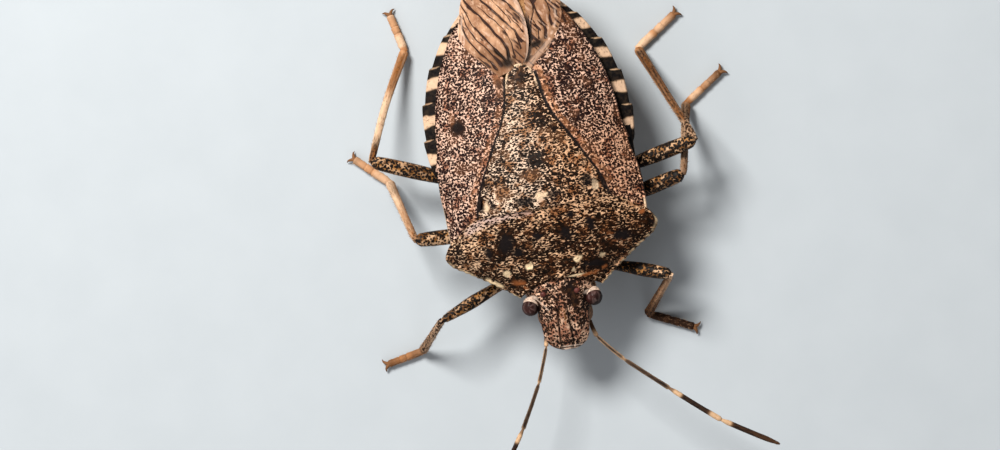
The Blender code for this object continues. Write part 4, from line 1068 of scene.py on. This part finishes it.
def make_head():
    s_line = np.concatenate([np.linspace(-0.75, -0.03, 22), np.linspace(0, 2.2, 110), np.linspace(2.215, 2.52, 34)])
    f = np.sin(np.linspace(-pi / 2, pi / 2, 161)) * 0.35 + np.linspace(-1, 1, 161) * 0.65
    angle = np.linspace(0, pi, 62)[1:-1]
    is_top = np.arange(len(f) + len(angle)) < len(f)
    rings = []
    for s in s_line:
        half = float(head_half(s)) * (1 - 0.25 * smooth(0.05, 0.7, -s))
        tuck = smooth(0.0, 0.35, -s)
        top_x, low_x = f * half, half * np.cos(angle)
        low, high = float(head_side(s)) - 0.1 * tuck, float(head_top(s)) - 0.06 * tuck
        ax = np.abs(top_x)
        bar_half = 0.15 + 0.05 * smooth(1.0, 2.4, s) - 0.05 * smooth(2.2, 2.5, s)
        start = smooth(0.85, 1.15, s)
        z = low + (high - low) * (1 - np.abs(f) ** 2.8) ** 0.75
        z += start * (0.05 * np.exp(-(top_x / bar_half) ** 4) - 0.075 * bump(ax, bar_half + 0.05, 0.035))
        z += start * 0.035 * bump(ax, half * 0.62, 0.16)
        z -= 0.05 * bump(ax, 0.42, 0.1) * bump(s, 0.55, 0.35)
        z += 0.04 * smooth(0.9, 0.99, np.abs(f)) * smooth(1.1, 1.4, s) * smooth(2.45, 2.2, s)
        x = np.concatenate([top_x, low_x])
        y = NECK_Y + 0.12 - s * 1.045 - 0.5 * (x / 1.62) ** 2 * min(max(1 - s / 0.9, 0), 1)
        z += 0.018 * cloud(top_x, y[is_top], 0.22, 101) + 0.008 * noise(top_x, y[is_top], 0.08, 103)
        under = low - (low - float(head_under(s))) * np.sin(angle) ** 0.8
        under -= 0.07 * bump(np.abs(low_x), 0.3, 0.07) * smooth(0.5, 0.8, s)
        under += 0.06 * bump(low_x, 0, 0.18)

        ax = np.abs(x)
        at = np.full(len(x), s)
        paint = Paint(x, at)
        tone = 0.22 + 0.85 * cloud(x, y * 0.7, 0.42, 105)
        tone -= 0.55 * smooth(-0.15, -0.55, x) * smooth(0.3, 0.6, s) * (1 - 0.4 * smooth(1.5, 1.9, s))
        tone += 0.4 * smooth(0.1, 0.5, x) * smooth(1.0, 1.3, s)
        tone += 1.0 * bump(x, 0.0, 0.12) * smooth(0.8, 1.0, s) * smooth(1.6, 1.4, s)
        paint.spots(HEAD_TONES)
        paint.layers["tone"] = paint.layers["tone"] * is_top + tone
        paint("black", 0.97 * start * bump(ax, bar_half + 0.05, 0.036) * is_top)
        paint("black", 0.7 * bump(s, 2.445, 0.02) * is_top)
        span = smooth(-0.35, -0.15, x) * smooth(0.82, 0.7, x)
        lips = bump(s, 2.4, 0.022) * is_top + bump(s, 2.49, 0.016) + ~is_top * smooth(2.46, 2.5, s)
        cream = span * 0.95 * np.clip(lips, 0, 1) + 0.85 * spot(ax, at, 1.08, 0.34, 0.2, 0.07, -35, 0.5) * is_top
        line = bump(ax, 0.95 - 0.8 * (s - 0.5), 0.026) * smooth(0.42, 0.5, s) * smooth(1.08, 0.98, s)
        paint("cream", cream + 0.7 * line * (x < 0) * is_top + 0.35 * ~is_top)
        streaks = smooth(-0.1, 0.4, noise(x * 3, y, 0.2, 107)) * smooth(0.9, 1.2, s) * smooth(1.7, 1.5, s)
        paint("warm", 0.5 * streaks * bump(x, 0.03, 0.13) * is_top)
        rings.append((head_turn(xyz(x, y, np.concatenate([z, under]))), paint.values()))
    body = Body()
    body.skin(rings)
    for side in (-1, 1):
        ellipsoid(body, (side * 0.82, NECK_Y - 1.12, 2.42), (0.26, 0.42, 0.24), tone=0.2, cream=0.15, warm=0.3)
        rim_at = (side * (EYE_SIDE - 0.045), NECK_Y - EYE_AHEAD + 0.12 + EYE_SHIFT * side, EYE_HEIGHT - 0.045)
        ellipsoid(body, rim_at, (0.325, 0.325, 0.33), 56, 40, tone=0.5, cream=0.72)
    body.make("head_shell", HEAD_LOOK, "head")
    for side, name in SIDE_NAMES.items():
        eye = Body()
        lat = np.linspace(-pi / 2, pi / 2, 50)[1:-1, None]
        lon = np.linspace(0, 2 * pi, 80, endpoint=False)[None, :]
        # Painted highlight: a pale glint on the upper part of each eye, carried by the pale value.
        glint = noise(np.cos(lon) * 2 + side, lat * 2, 0.5, 109)
        pale = 0.22 * smooth(0.45, 0.8, np.sin(lat)) * smooth(0.0, 0.5, glint)
        centre = (side * EYE_SIDE, NECK_Y - EYE_AHEAD + EYE_SHIFT * side, EYE_HEIGHT)
        ellipsoid(eye, centre, np.array(EYE_RADII) * 0.985, 80, 50, pale=pale)
        eye.make("compound_eye_" + name, EYE_LOOK, "eye_" + name)
        bead = Body()
        ellipsoid(bead, (side * 0.66, NECK_Y - 0.3, float(head_top(0.3)) - 0.095), (0.125, 0.11, 0.07), 32, 20)
        bead.make("ocellus_" + name, OCELLUS_LOOK)


# Limbs

def around(sides):
    """Cosine and sine of the places round a limb, each as one row; the sine is 1 on top."""
    angle = np.linspace(0, 2 * pi, sides, endpoint=False)[None, :]
    return np.cos(angle), np.sin(angle)


def blunt(t, stop, length, power):
    """Radius share that rounds off the end of a limb just before t = stop."""
    return np.sqrt(np.clip((stop - t) / length, 0, 1)) ** power


def make_beak():
    joints = np.array([(0, -5.25, 2.05), (0, -4.4, 1.66), (0, -2.7, 1.4), (0, -0.9, 1.36), (0, 0.8, 1.36)])
    body = Body()
    t = np.linspace(0, 1, 26)
    for k in range(4):
        last = float(k == 3)
        radius = 0.17 * (1 - 0.13 * k) * (0.8 + 0.2 * np.sin(pi * t) ** 0.5) * (1 - 0.6 * last * smooth(0.5, 1, t))
        limb(body, joints[k] + (joints[k + 1] - joints[k]) * t[:, None], radius, 16, 0.9,
             pale=0.3 * (1 - t), blotch=0.1 * t, black=0.9 * last * smooth(0.6, 1.0, t))
    body.make("beak_sheath", SHIN_LOOK, "beak")


rng = np.random.default_rng(7)


def bristles(body, path, radii, count, length, thick=0.008, lean=0.6, **values):
    """Short tapered hairs on a tube, leaning towards its far end."""
    tangent, across, up = frames_along(path)
    for _ in range(count):
        i = int(rng.uniform(0.04, 0.97) * (len(path) - 1))
        angle = rng.uniform(0, 2 * pi)
        out = across[i] * cos(angle) + up[i] * sin(angle)
        root = path[i] + out * radii[i] * 0.93
        way = out * (1 - lean * rng.uniform(0.7, 1.1)) + tangent[i] * lean
        way /= np.linalg.norm(way)
        tip = root + way * length * rng.uniform(0.6, 1.25)
        side = np.cross(way, tangent[i])
        side /= max(np.linalg.norm(side), 1e-6)
        other = np.cross(side, way)
        if tip[2] >= 0.02:
            corners = [root + (side * cos(q) + other * sin(q)) * thick for q in (0, 2.1, 4.2)]
            body.add(corners + [tip], [(0, 1, 3), (1, 2, 3), (2, 0, 3), (2, 1, 0)], **values)


THIGH_RADIUS = curve((0.0, 0.16), (0.1, 0.18), (0.45, 0.24), (0.7, 0.3), (0.85, 0.29), (0.95, 0.26), (1.0, 0.22))
THIGH_SLIM = {"front_left": curve((0.0, 0.95), (1.0, 0.87)),
              "front_right": curve((0.0, 0.95), (0.6, 0.85), (0.85, 0.68), (1.0, 0.56))}
SHIN_RADIUS = curve((0.0, 0.115), (0.06, 0.135), (0.5, 0.15), (0.85, 0.172), (0.96, 0.185), (1.0, 0.145))
# Where on the thigh the pale spots start and stop, and how strong they are
PALE_SPOTS = {
    "front_left": (0.84, 1.02, 0.95), "front_right": (0.15, 0.95, 0.55), "middle_left": (0.6, 0.97, 0.6),
    "middle_right": (0.2, 0.97, 0.85), "hind_left": (0.25, 0.97, 0.7), "hind_right": (0.6, 0.98, 0.6),
}
# Along the shin, on the middle and on both edges seen from above: pale, dark
SHIN_PALE = {
    "hind_right": (
        ((0, 0.1), (0.11, 0.15), (0.17, 0.95), (0.5, 0.9), (0.58, 0.55), (0.68, 0.04), (0.92, 0.0), (1, 0.2)),
        ((0, 0.9), (0.5, 0.95), (0.65, 0.6), (0.92, 0.45), (1, 0.3)),
        ((0, 0.0), (0.12, 0.1), (0.17, 0.85), (0.52, 0.85), (0.68, 0.3), (1, 0.15))),
    "hind_left": (
        ((0, 0.15), (0.3, 0.08), (0.5, 0.05), (0.8, 0.0), (1, 0.15)),
        ((0, 0.35), (0.5, 0.4), (0.9, 0.3), (1, 0.3)),
        ((0, 0.4), (0.2, 0.2), (1, 0.15))),
    "middle_left": (
        ((0, 0.35), (0.5, 0.5), (0.85, 0.4), (1, 0.3)),
        ((0, 0.6), (0.5, 0.7), (1, 0.5)),
        ((0, 0.3), (1, 0.2))),
    "middle_right": (
        ((0, 0.2), (0.1, 0.35), (0.45, 0.5), (0.7, 0.8), (1, 0.85)),
        ((0, 0.4), (0.1, 0.55), (0.6, 0.85), (1, 0.9)),
        ((0, 0.2), (0.3, 0.25), (0.8, 0.5), (1, 0.75))),
    "front_left": (
        ((0, 0.5), (0.5, 0.4), (0.75, 0.15), (1, 0.0)),
        ((0, 0.95), (0.35, 0.7), (0.6, 0.2), (1, 0.0)),
        ((0, 0.6), (0.12, 0.2), (1, 0.0))),
    "front_right": (
        ((0, 0.25), (0.3, 0.4), (0.6, 0.2), (1, 0.05)),
        ((0, 0.5), (0.6, 0.55), (1, 0.2)),
        ((0, 0.2), (1, 0.1))),
}
SHIN_DARK = {
    "hind_right": (
        ((0, 0.9), (0.11, 0.98), (0.2, 0.5), (0.24, 0.0), (0.56, 0.0), (0.68, 0.3), (0.9, 0.25), (0.97, 0)),
        ((0, 0.1), (0.1, 0.0), (1, 0.1)),
        ((0, 0.98), (0.12, 0.98), (0.19, 0.6), (0.24, 0.0), (0.6, 0.0), (0.7, 0.2), (1, 0.1))),
    "hind_left": (
        ((0, 0.6), (0.2, 0.45), (0.35, 0.35), (0.55, 0.4), (0.7, 0.65), (0.92, 0.55), (0.98, 0.1)),
        ((0, 0.3), (0.25, 0.1), (1, 0.1)),
        ((0, 0.6), (0.2, 0.45), (0.6, 0.5), (0.9, 0.55), (1, 0.2))),
    "middle_left": (
        ((0, 0.5), (0.15, 0.4), (0.6, 0.3), (1, 0.35)),
        ((0, 0.3), (1, 0.15)),
        ((0, 0.55), (0.8, 0.6), (1, 0.4))),
    "middle_right": (
        ((0, 0.3), (0.1, 0.15), (0.6, 0.0), (1, 0.0)),
        ((0, 0.1), (1, 0.0)),
        ((0, 0.4), (0.3, 0.4), (0.7, 0.2), (1, 0.0))),
    "front_left": (
        ((0, 0.2), (0.5, 0.3), (0.8, 0.6), (1, 0.92)),
        ((0, 0.0), (0.35, 0.2), (0.6, 0.6), (1, 0.9)),
        ((0, 0.4), (0.12, 0.8), (1, 0.95))),
    "front_right": (
        ((0, 0.5), (0.2, 0.15), (0.7, 0.2), (1, 0.4)),
        ((0, 0.2), (1, 0.15)),
        ((0, 0.5), (1, 0.5))),
}
# Blotches from the knee down, and how strong the two dark stripes are
SHIN_MOTTLE = {
    "hind_right": ((0, 0.2), (0.14, 0.0), (1, 0.0)),
    "hind_left": ((0, 0.6), (0.16, 0.56), (0.26, 0.2), (1, 0.12)),
    "middle_left": ((0, 0.15), (0.3, 0.2), (0.75, 0.4), (1, 0.1)),
    "middle_right": ((0, 0.35), (0.25, 0.1), (1, 0.0)),
    "front_left": ((0, 0.4), (0.15, 0.25), (1, 0.2)),
    "front_right": ((0, 0.62), (0.25, 0.6), (0.6, 0.5), (0.85, 0.56), (1, 0.3)),
}
SHIN_STRIPES = {
    "hind_right": 0.12, "hind_left": 0.9, "middle_left": 0.6, "middle_right": 0.15, "front_left": 0.6,
    "front_right": 0.6,
}
# Feet, from the ankle to the claws
FOOT_PALE = {
    # Front left: the painted shadow of its knee makes the whole foot nearly black.
    "front_left": ((0, 0.05), (1, 0.0)),
    "front_right": ((0, 0.25), (0.4, 0.1), (1, 0.05)),
    "middle_left": ((0, 0.05), (0.12, 0.1), (0.22, 0.75), (0.4, 0.6), (0.5, 0.2), (0.65, 0.35), (1, 0.05)),
    "middle_right": ((0, 0.7), (0.4, 0.6), (0.5, 0.25), (1, 0.5)),
    "hind_left": ((0, 0.5), (0.1, 0.95), (0.35, 0.8), (0.46, 0.2), (0.56, 0.65), (0.85, 0.45), (1, 0.1)),
    "hind_right": ((0, 0.1), (0.08, 0.15), (0.16, 0.95), (0.4, 0.9), (0.5, 0.3), (0.85, 0.35), (1, 0.75)),
}
FOOT_DARK = {
    # Front left: nearly black, the painted shadow of its knee on the foot.
    "front_left": ((0, 0.92), (1, 1.0)),
    "front_right": ((0, 0.45), (0.25, 0.4), (0.5, 0.25), (1, 0.5)),
    "middle_left": ((0, 0.3), (0.12, 0.25), (0.2, 0.0), (0.45, 0.05), (0.6, 0.2), (0.85, 0.4), (1, 0.7)),
    "middle_right": ((0, 0.0), (0.8, 0.0), (1, 0.3)),
    "hind_left": ((0, 0.1), (0.1, 0.0), (0.8, 0.05), (1, 0.35)),
    "hind_right": ((0, 0.1), (0.1, 0.0), (0.85, 0.0), (1, 0.15)),
}
SHIN_GOLD = {"hind_right": 0.6, "middle_right": 0.5, "middle_left": 0.12}
SHIN_BOW = {"hind_right": -0.1}
FOOT_SCALE = {"middle_left": 0.88, "front_right": 0.92}
ANKLE_HEIGHT, FOOT_HEIGHT, TOE_HEIGHT = 0.3, 0.2, 0.16


def across_limb(t, sides, middle, left, right):
    """Pattern over a limb from its values along the middle and both edges, as seen from above."""
    c, _ = around(sides)
    on_right, on_left = smooth(0.3, 0.95, c), smooth(0.3, 0.95, -c)
    parts = [curve(*points)(t)[:, None] for points in (middle, left, right)]
    return parts[0] * (1 - on_right - on_left) + parts[1] * on_left + parts[2] * on_right


def make_thigh(name, hip, knee):
    body = Body()
    bone = knee - hip
    t = np.linspace(0, 1, 16)
    coxa = spline([hip * (0.9, 1, 1) + (0, 0, 0.25), hip + (0, 0, 0.08), hip + bone * 0.07], 16)
    limb(body, coxa, 0.33 * np.sin(pi * (0.16 + 0.7 * t)) ** 0.6, 22, pale=0.3, blotch=0.25, gold=0.4)
    t = np.linspace(0, 1, 12)
    ring = spline([hip + bone * 0.05, hip + bone * 0.14], 12)
    limb(body, ring, 0.225 * np.sin(pi * (0.2 + 0.6 * t)) ** 0.5, 20, pale=0.2, blotch=0.3, gold=0.4)

    t = np.linspace(0, 1, 80)
    path = spline([hip + bone * 0.11, hip + bone * 0.5 + (0, 0, 0.06), knee - bone * 0.03, knee], 80)
    radius = THIGH_RADIUS(0.11 + 0.89 * t) * blunt(t, 1.004, 0.05, 0.8)
    if name in THIGH_SLIM:
        radius *= THIGH_SLIM[name](t)
    radius[0] *= 0.75
    cosine, upper = around(28)
    along = t[:, None] * np.linalg.norm(bone)
    low, high, level = PALE_SPOTS[name]
    tract = smooth(low - 0.12, low + 0.05, t) * smooth(high + 0.03, high - 0.03, t)
    patch = smooth(-0.1, 0.35, noise(along, cosine * 0.5 + 5 + len(name), 0.17, 96))
    pale = np.maximum(level * tract[:, None] * smooth(-0.1, 0.7, upper) * patch, 0.35 * smooth(0.97, 1.0, t)[:, None])
    blot = 0.5 + 0.12 * noise(along, cosine, 0.3, 97) - 0.22 * pale + 0.12 * smooth(0.1, -0.6, upper)
    blot = blot + (0.06 + 0.13 * smooth(0.65, 0.35, t)[:, None] if name.endswith("left") else -0.03)
    gold = 0.8 * smooth(-0.2, 0.5, noise(along, cosine * 0.7, 0.25, 98))
    limb(body, path, radius, 28, 0.95, blotch=blot, pale=pale, gold=gold)
    bristles(body, path, radius, 150, 0.1, 0.009, blotch=0.2, pale=0.4, gold=0.5)
    body.make("thigh_" + name, THIGH_LOOK, "femur_" + name)


def add_shin(body, name, hip, knee, ankle):
    bone = ankle - knee
    down = bone / np.linalg.norm(bone)
    bend = knee - (knee - hip) / np.linalg.norm(knee - hip) * 0.02
    middle = knee + bone * 0.5 + (SHIN_BOW.get(name, 0.0), 0, 0.03)
    path = spline([bend - down * 0.02, knee + down * 0.35, middle, ankle], 90)
    t = np.linspace(0, 1, 90)
    radius = SHIN_RADIUS(t)
    radius[-1] *= 0.7
    sides = 26
    pale, dark = (across_limb(t, sides, *table[name]) for table in (SHIN_PALE, SHIN_DARK))
    along, (cosine, _) = t[:, None] * np.linalg.norm(bone), around(sides)
    grain = noise(along * 0.4, cosine + 9, 0.13, 99) + 0.5 * noise(along * 2, cosine * 2 + 3, 0.16, 100)
    mottle = curve(*SHIN_MOTTLE[name])(t)[:, None]
    flecks = smooth(0.3, 0.55, mottle)
    stripes = SHIN_STRIPES[name] * (bump(cosine, 0.48, 0.2) + bump(cosine, -0.42, 0.17))
    stripes = stripes * (smooth(0.05, 0.2, t) * smooth(0.98, 0.94, t))[:, None]
    stripes = stripes * (1 - 0.8 * flecks) * np.clip(0.8 + 1.2 * grain, 0, 1)
    dark = dark * (1 - 0.55 * flecks)
    limb(body, path, radius, sides, 0.9, 0.08, blotch=0.15 + 0.3 * dark - 0.15 * pale + mottle,
         pale=np.clip(pale + 0.35 * flecks + 0.3 * grain, 0, 1),
         black=np.clip(dark * (0.8 + 0.8 * grain) + stripes, 0, 0.97),
         gold=np.clip(SHIN_GOLD.get(name, 0.3) + 0.3 * grain + 0.4 * smooth(0.93, 1, t)[:, None], 0, 1))
    bristles(body, path, radius, 230, 0.12, blotch=0.0, pale=0.25, black=0.3, gold=0.3)


def add_foot(body, name, ankle_xy, toe):
    forward = toe - (*ankle_xy, TOE_HEIGHT)
    forward /= np.linalg.norm(forward)
    side = np.cross(forward, (0, 0, 1.0))
    start, last = np.array((*ankle_xy, FOOT_HEIGHT)), toe - forward * 0.3
    t = np.linspace(0, 1, 90)
    path = start + (last - start) * t[:, None] - forward * 0.03 * (1 - t[:, None])
    path[:, 2] = 0.185 - 0.02 * t
    pinch = bump(t, 0.5, 0.016) + bump(t, 0.69, 0.014)
    swell = bump(t, 0.44, 0.05) + bump(t, 0.65, 0.04) + 0.8 * bump(t, 0.95, 0.05)
    radius = (0.166 - 0.02 * t) * (0.8 + 0.2 * smooth(0, 0.2, t)) * (1 - 0.16 * pinch + 0.06 * swell)
    radius *= blunt(t, 1.01, 0.03, 0.6) * FOOT_SCALE.get(name, 1.0)
    pale, dark = curve(*FOOT_PALE[name])(t), curve(*FOOT_DARK[name])(t)
    limb(body, path, radius, 22, 1.0, blotch=0.05 + 0.1 * pinch, pale=pale, gold=0.9 - 0.6 * dark,
         black=np.clip(dark + 0.25 * pinch + 0.1 * noise(t * 8, t * 0 + 3, 0.5, 95), 0, 0.95))
    bristles(body, path, radius, 170, 0.09, blotch=0.0, pale=0.5, black=0.1, gold=0.6)

    def from_end(ahead, aside, up):
        return last + forward * ahead + side * aside + (0, 0, up)

    t = np.linspace(0, 1, 24)
    for sign in (-1, 1):
        claw = spline([from_end(-0.04, 0, 0.02), from_end(0.08, 0.07 * sign, 0.04),
                       from_end(0.17, 0.17 * sign, 0.01), from_end(0.19, 0.27 * sign, -0.07)], 24)
        limb(body, claw, 0.085 * (1 - t) ** 0.8 + 0.006, 12, pale=0.1, black=0.3 + 0.4 * t, gold=0.5)
        pad = spline([from_end(0, 0, -0.03), from_end(0.16, 0.07 * sign, -0.08)], 8)
        limb(body, pad, 0.05 * np.sin(pi * np.linspace(0.2, 0.9, 8)), 10, pale=0.7, gold=0.6)


def make_leg(name, hip, knee, ankle_xy, toe_xy):
    hip, knee, ankle = np.array(hip), np.array(knee), np.array((*ankle_xy, ANKLE_HEIGHT))
    make_thigh(name, hip, knee)
    body = Body()
    add_shin(body, name, hip, knee, ankle)
    add_foot(body, name, ankle_xy, np.array((*toe_xy, TOE_HEIGHT)))
    body.make("shin_and_foot_" + name, SHIN_LOOK, ("tibia_" + name, "tarsus_" + name))


# Feeler bands: pale and dark values along each joint
FEELER_PALE = (
    ((0, 0.05), (0.5, 0.1), (0.72, 0.7), (0.85, 0.95), (0.95, 0.8), (1, 0.4)),
    ((0, 0.4), (0.2, 0.3), (0.85, 0.25), (0.95, 0.5), (1, 0.6)),
    ((0, 0.5), (0.08, 0.15), (0.9, 0.15), (1, 0.4)),
    ((0, 0.3), (0.05, 0.35), (0.1, 0.92), (0.2, 0.92), (0.26, 0.1), (0.74, 0.08), (0.82, 0.92), (1, 0.95)),
    ((0, 0.95), (0.14, 0.95), (0.2, 0.1), (0.6, 0.05), (1, 0.1)),
)
FEELER_DARK = (
    ((0, 0.6), (0.5, 0.5), (0.7, 0.1), (1, 0.0)),
    ((0, 0.5), (0.1, 0.95), (0.9, 0.97), (1, 0.2)),
    ((0, 0.3), (0.08, 0.9), (0.9, 0.97), (1, 0.4)),
    ((0, 0.3), (0.07, 0.2), (0.1, 0.0), (0.2, 0.0), (0.28, 0.92), (0.7, 0.92), (0.8, 0.0), (1, 0.0)),
    ((0, 0.0), (0.14, 0.0), (0.22, 0.85), (0.6, 0.8), (1, 0.65)),
)
FEELER_THICK = (0.08, 0.07, 0.08, 0.096, 0.102)
# Pale along both edges of a joint: its own pale edges on the second joint, a painted highlight on the third.
FEELER_EDGES = (0.0, 0.9, 0.45, 0.0, 0.0)


def make_antenna(name, joints):
    body = Body()
    joints = np.array(joints)
    slim = 0.93 if name == "right" else 1.0
    sides = 16
    c, _ = around(sides)
    t = np.linspace(0, 1, 60)
    for k in range(5):
        a, b = joints[k], joints[k + 1]
        before, after = joints[max(k - 1, 0)], joints[min(k + 2, 5)]
        path = spline([a, (a + b) / 2 + ((a - before) / 2 - (after - b) / 2) * 0.06, b], 60)
        radius = FEELER_THICK[k] * slim * (0.6 + 0.4 * smooth(0, 0.12, t))
        if k < 4:
            radius *= (1 + 0.1 * smooth(0.6, 0.9, t)) * blunt(t, 1.01, 0.05, 0.7)
        else:
            radius *= (1 - 0.45 * smooth(0.75, 1, t)) * blunt(t, 1.01, 0.05, 0.8)
        # Pale edges: the second joint's own colour, a painted highlight on the third.
        edges = smooth(0.3, 0.6, np.abs(c)) * FEELER_EDGES[k]
        grain = noise(t[:, None] * np.linalg.norm(b - a), c + 2 * k, 0.12, 94)
        pale = curve(*FEELER_PALE[k])(t)[:, None] + edges + 0.08 * grain
        dark = (curve(*FEELER_DARK[k])(t)[:, None] - 0.6 * edges) * (1 + 0.3 * grain)
        gold = (0.6 if k == 4 else 0.3) + 0.25 * grain
        limb(body, path, radius, sides, blotch=0.1, pale=np.clip(pale, 0, 1), black=np.clip(dark, 0, 1),
             gold=np.clip(gold, 0, 1))
        hairs = 150 if k > 1 else 80
        bristles(body, path, radius, hairs, 0.06, 0.005, 0.7, blotch=0.0, pale=0.15, black=0.75, gold=0.2)
    body.make("feeler_" + name, FEELER_LOOK, "antenna_" + name)


make_shield()
make_underside()
make_scutellum()
for make_wing in (make_corium, make_membrane):
    for wing_side in SIDE_NAMES:
        make_wing(wing_side)
make_abdomen()
make_head()
make_beak()
for leg, places in LEGS.items():
    make_leg(leg, *places)
for feeler, places in ANTENNAE.items():
    make_antenna(feeler, places)


# Floor, light and camera, in metres

FLOOR_HALF = 0.35
IMAGE_WIDTH = 1000
PIXELS_PER_MM = 26
SENSOR = 36
CAMERA_DISTANCE = 0.2
CAMERA_TARGET = ORIGIN + Vector((-1.76, -0.61, 4.9)) * MM
CAMERA_TILT = radians(5), radians(2)
CAMERA_ROLL = radians(10.3)
ROOM_LIGHT = 0.24


def make_floor():
    mesh = bpy.data.meshes.new("floor")
    corners = [(x * FLOOR_HALF, y * FLOOR_HALF, 0) for x, y in ((-1, -1), (1, -1), (1, 1), (-1, 1))]
    mesh.from_pydata(corners, [], [(0, 1, 2, 3)])
    mesh.materials.append(floor_look("pale_floor"))
    obj = bpy.data.objects.new("floor", mesh)
    bpy.context.scene.collection.objects.link(obj)


def area_light(name, offset, size, power, colour):
    """Disk light at an offset from the model, turned towards it."""
    data = bpy.data.lights.new(name, "AREA")
    data.shape = "DISK"
    data.size = size
    data.energy = power
    data.color = colour
    obj = bpy.data.objects.new(name, data)
    obj.location = ORIGIN + Vector(offset)
    obj.rotation_euler = (ORIGIN - obj.location).to_track_quat("-Z", "Y").to_euler()
    bpy.context.scene.collection.objects.link(obj)


def make_camera():
    """Long lens over the back, as far round as in the photo: the tail leans to the left."""
    away = Vector((np.tan(CAMERA_TILT[0]), -np.tan(CAMERA_TILT[1]), 1)).normalized()
    up = (Vector((0, 1, 0)) - away * away.y).normalized()
    right = up.cross(away)
    c, s = cos(CAMERA_ROLL), sin(CAMERA_ROLL)
    turned = Matrix((right * c - up * s, right * s + up * c, away)).transposed()
    data = bpy.data.cameras.new("camera")
    data.sensor_width = SENSOR
    data.lens = SENSOR * CAMERA_DISTANCE / (IMAGE_WIDTH / PIXELS_PER_MM * MM)
    data.clip_start = 0.005
    obj = bpy.data.objects.new("camera", data)
    obj.matrix_world = Matrix.Translation(CAMERA_TARGET + away * CAMERA_DISTANCE) @ turned.to_4x4()
    bpy.context.scene.collection.objects.link(obj)
    bpy.context.scene.camera = obj


make_floor()
area_light("key", (-0.035, 0.07, 0.109), 0.05, 0.315, (1.0, 0.98, 0.94))
area_light("fill", (-0.12, -0.06, 0.12), 0.16, 0.08, (0.95, 0.97, 1.0))
area_light("front", (0.0, -0.17, 0.09), 0.12, 0.07, (0.97, 0.98, 1.0))
make_camera()

world = bpy.data.worlds.new("soft_room")
world.use_nodes = True
room = world.node_tree.nodes["Background"].inputs
room["Color"].default_value = (0.94, 0.93, 0.93, 1)
room["Strength"].default_value = ROOM_LIGHT
bpy.context.scene.world = world
bpy.context.scene.view_settings.view_transform = "Standard"
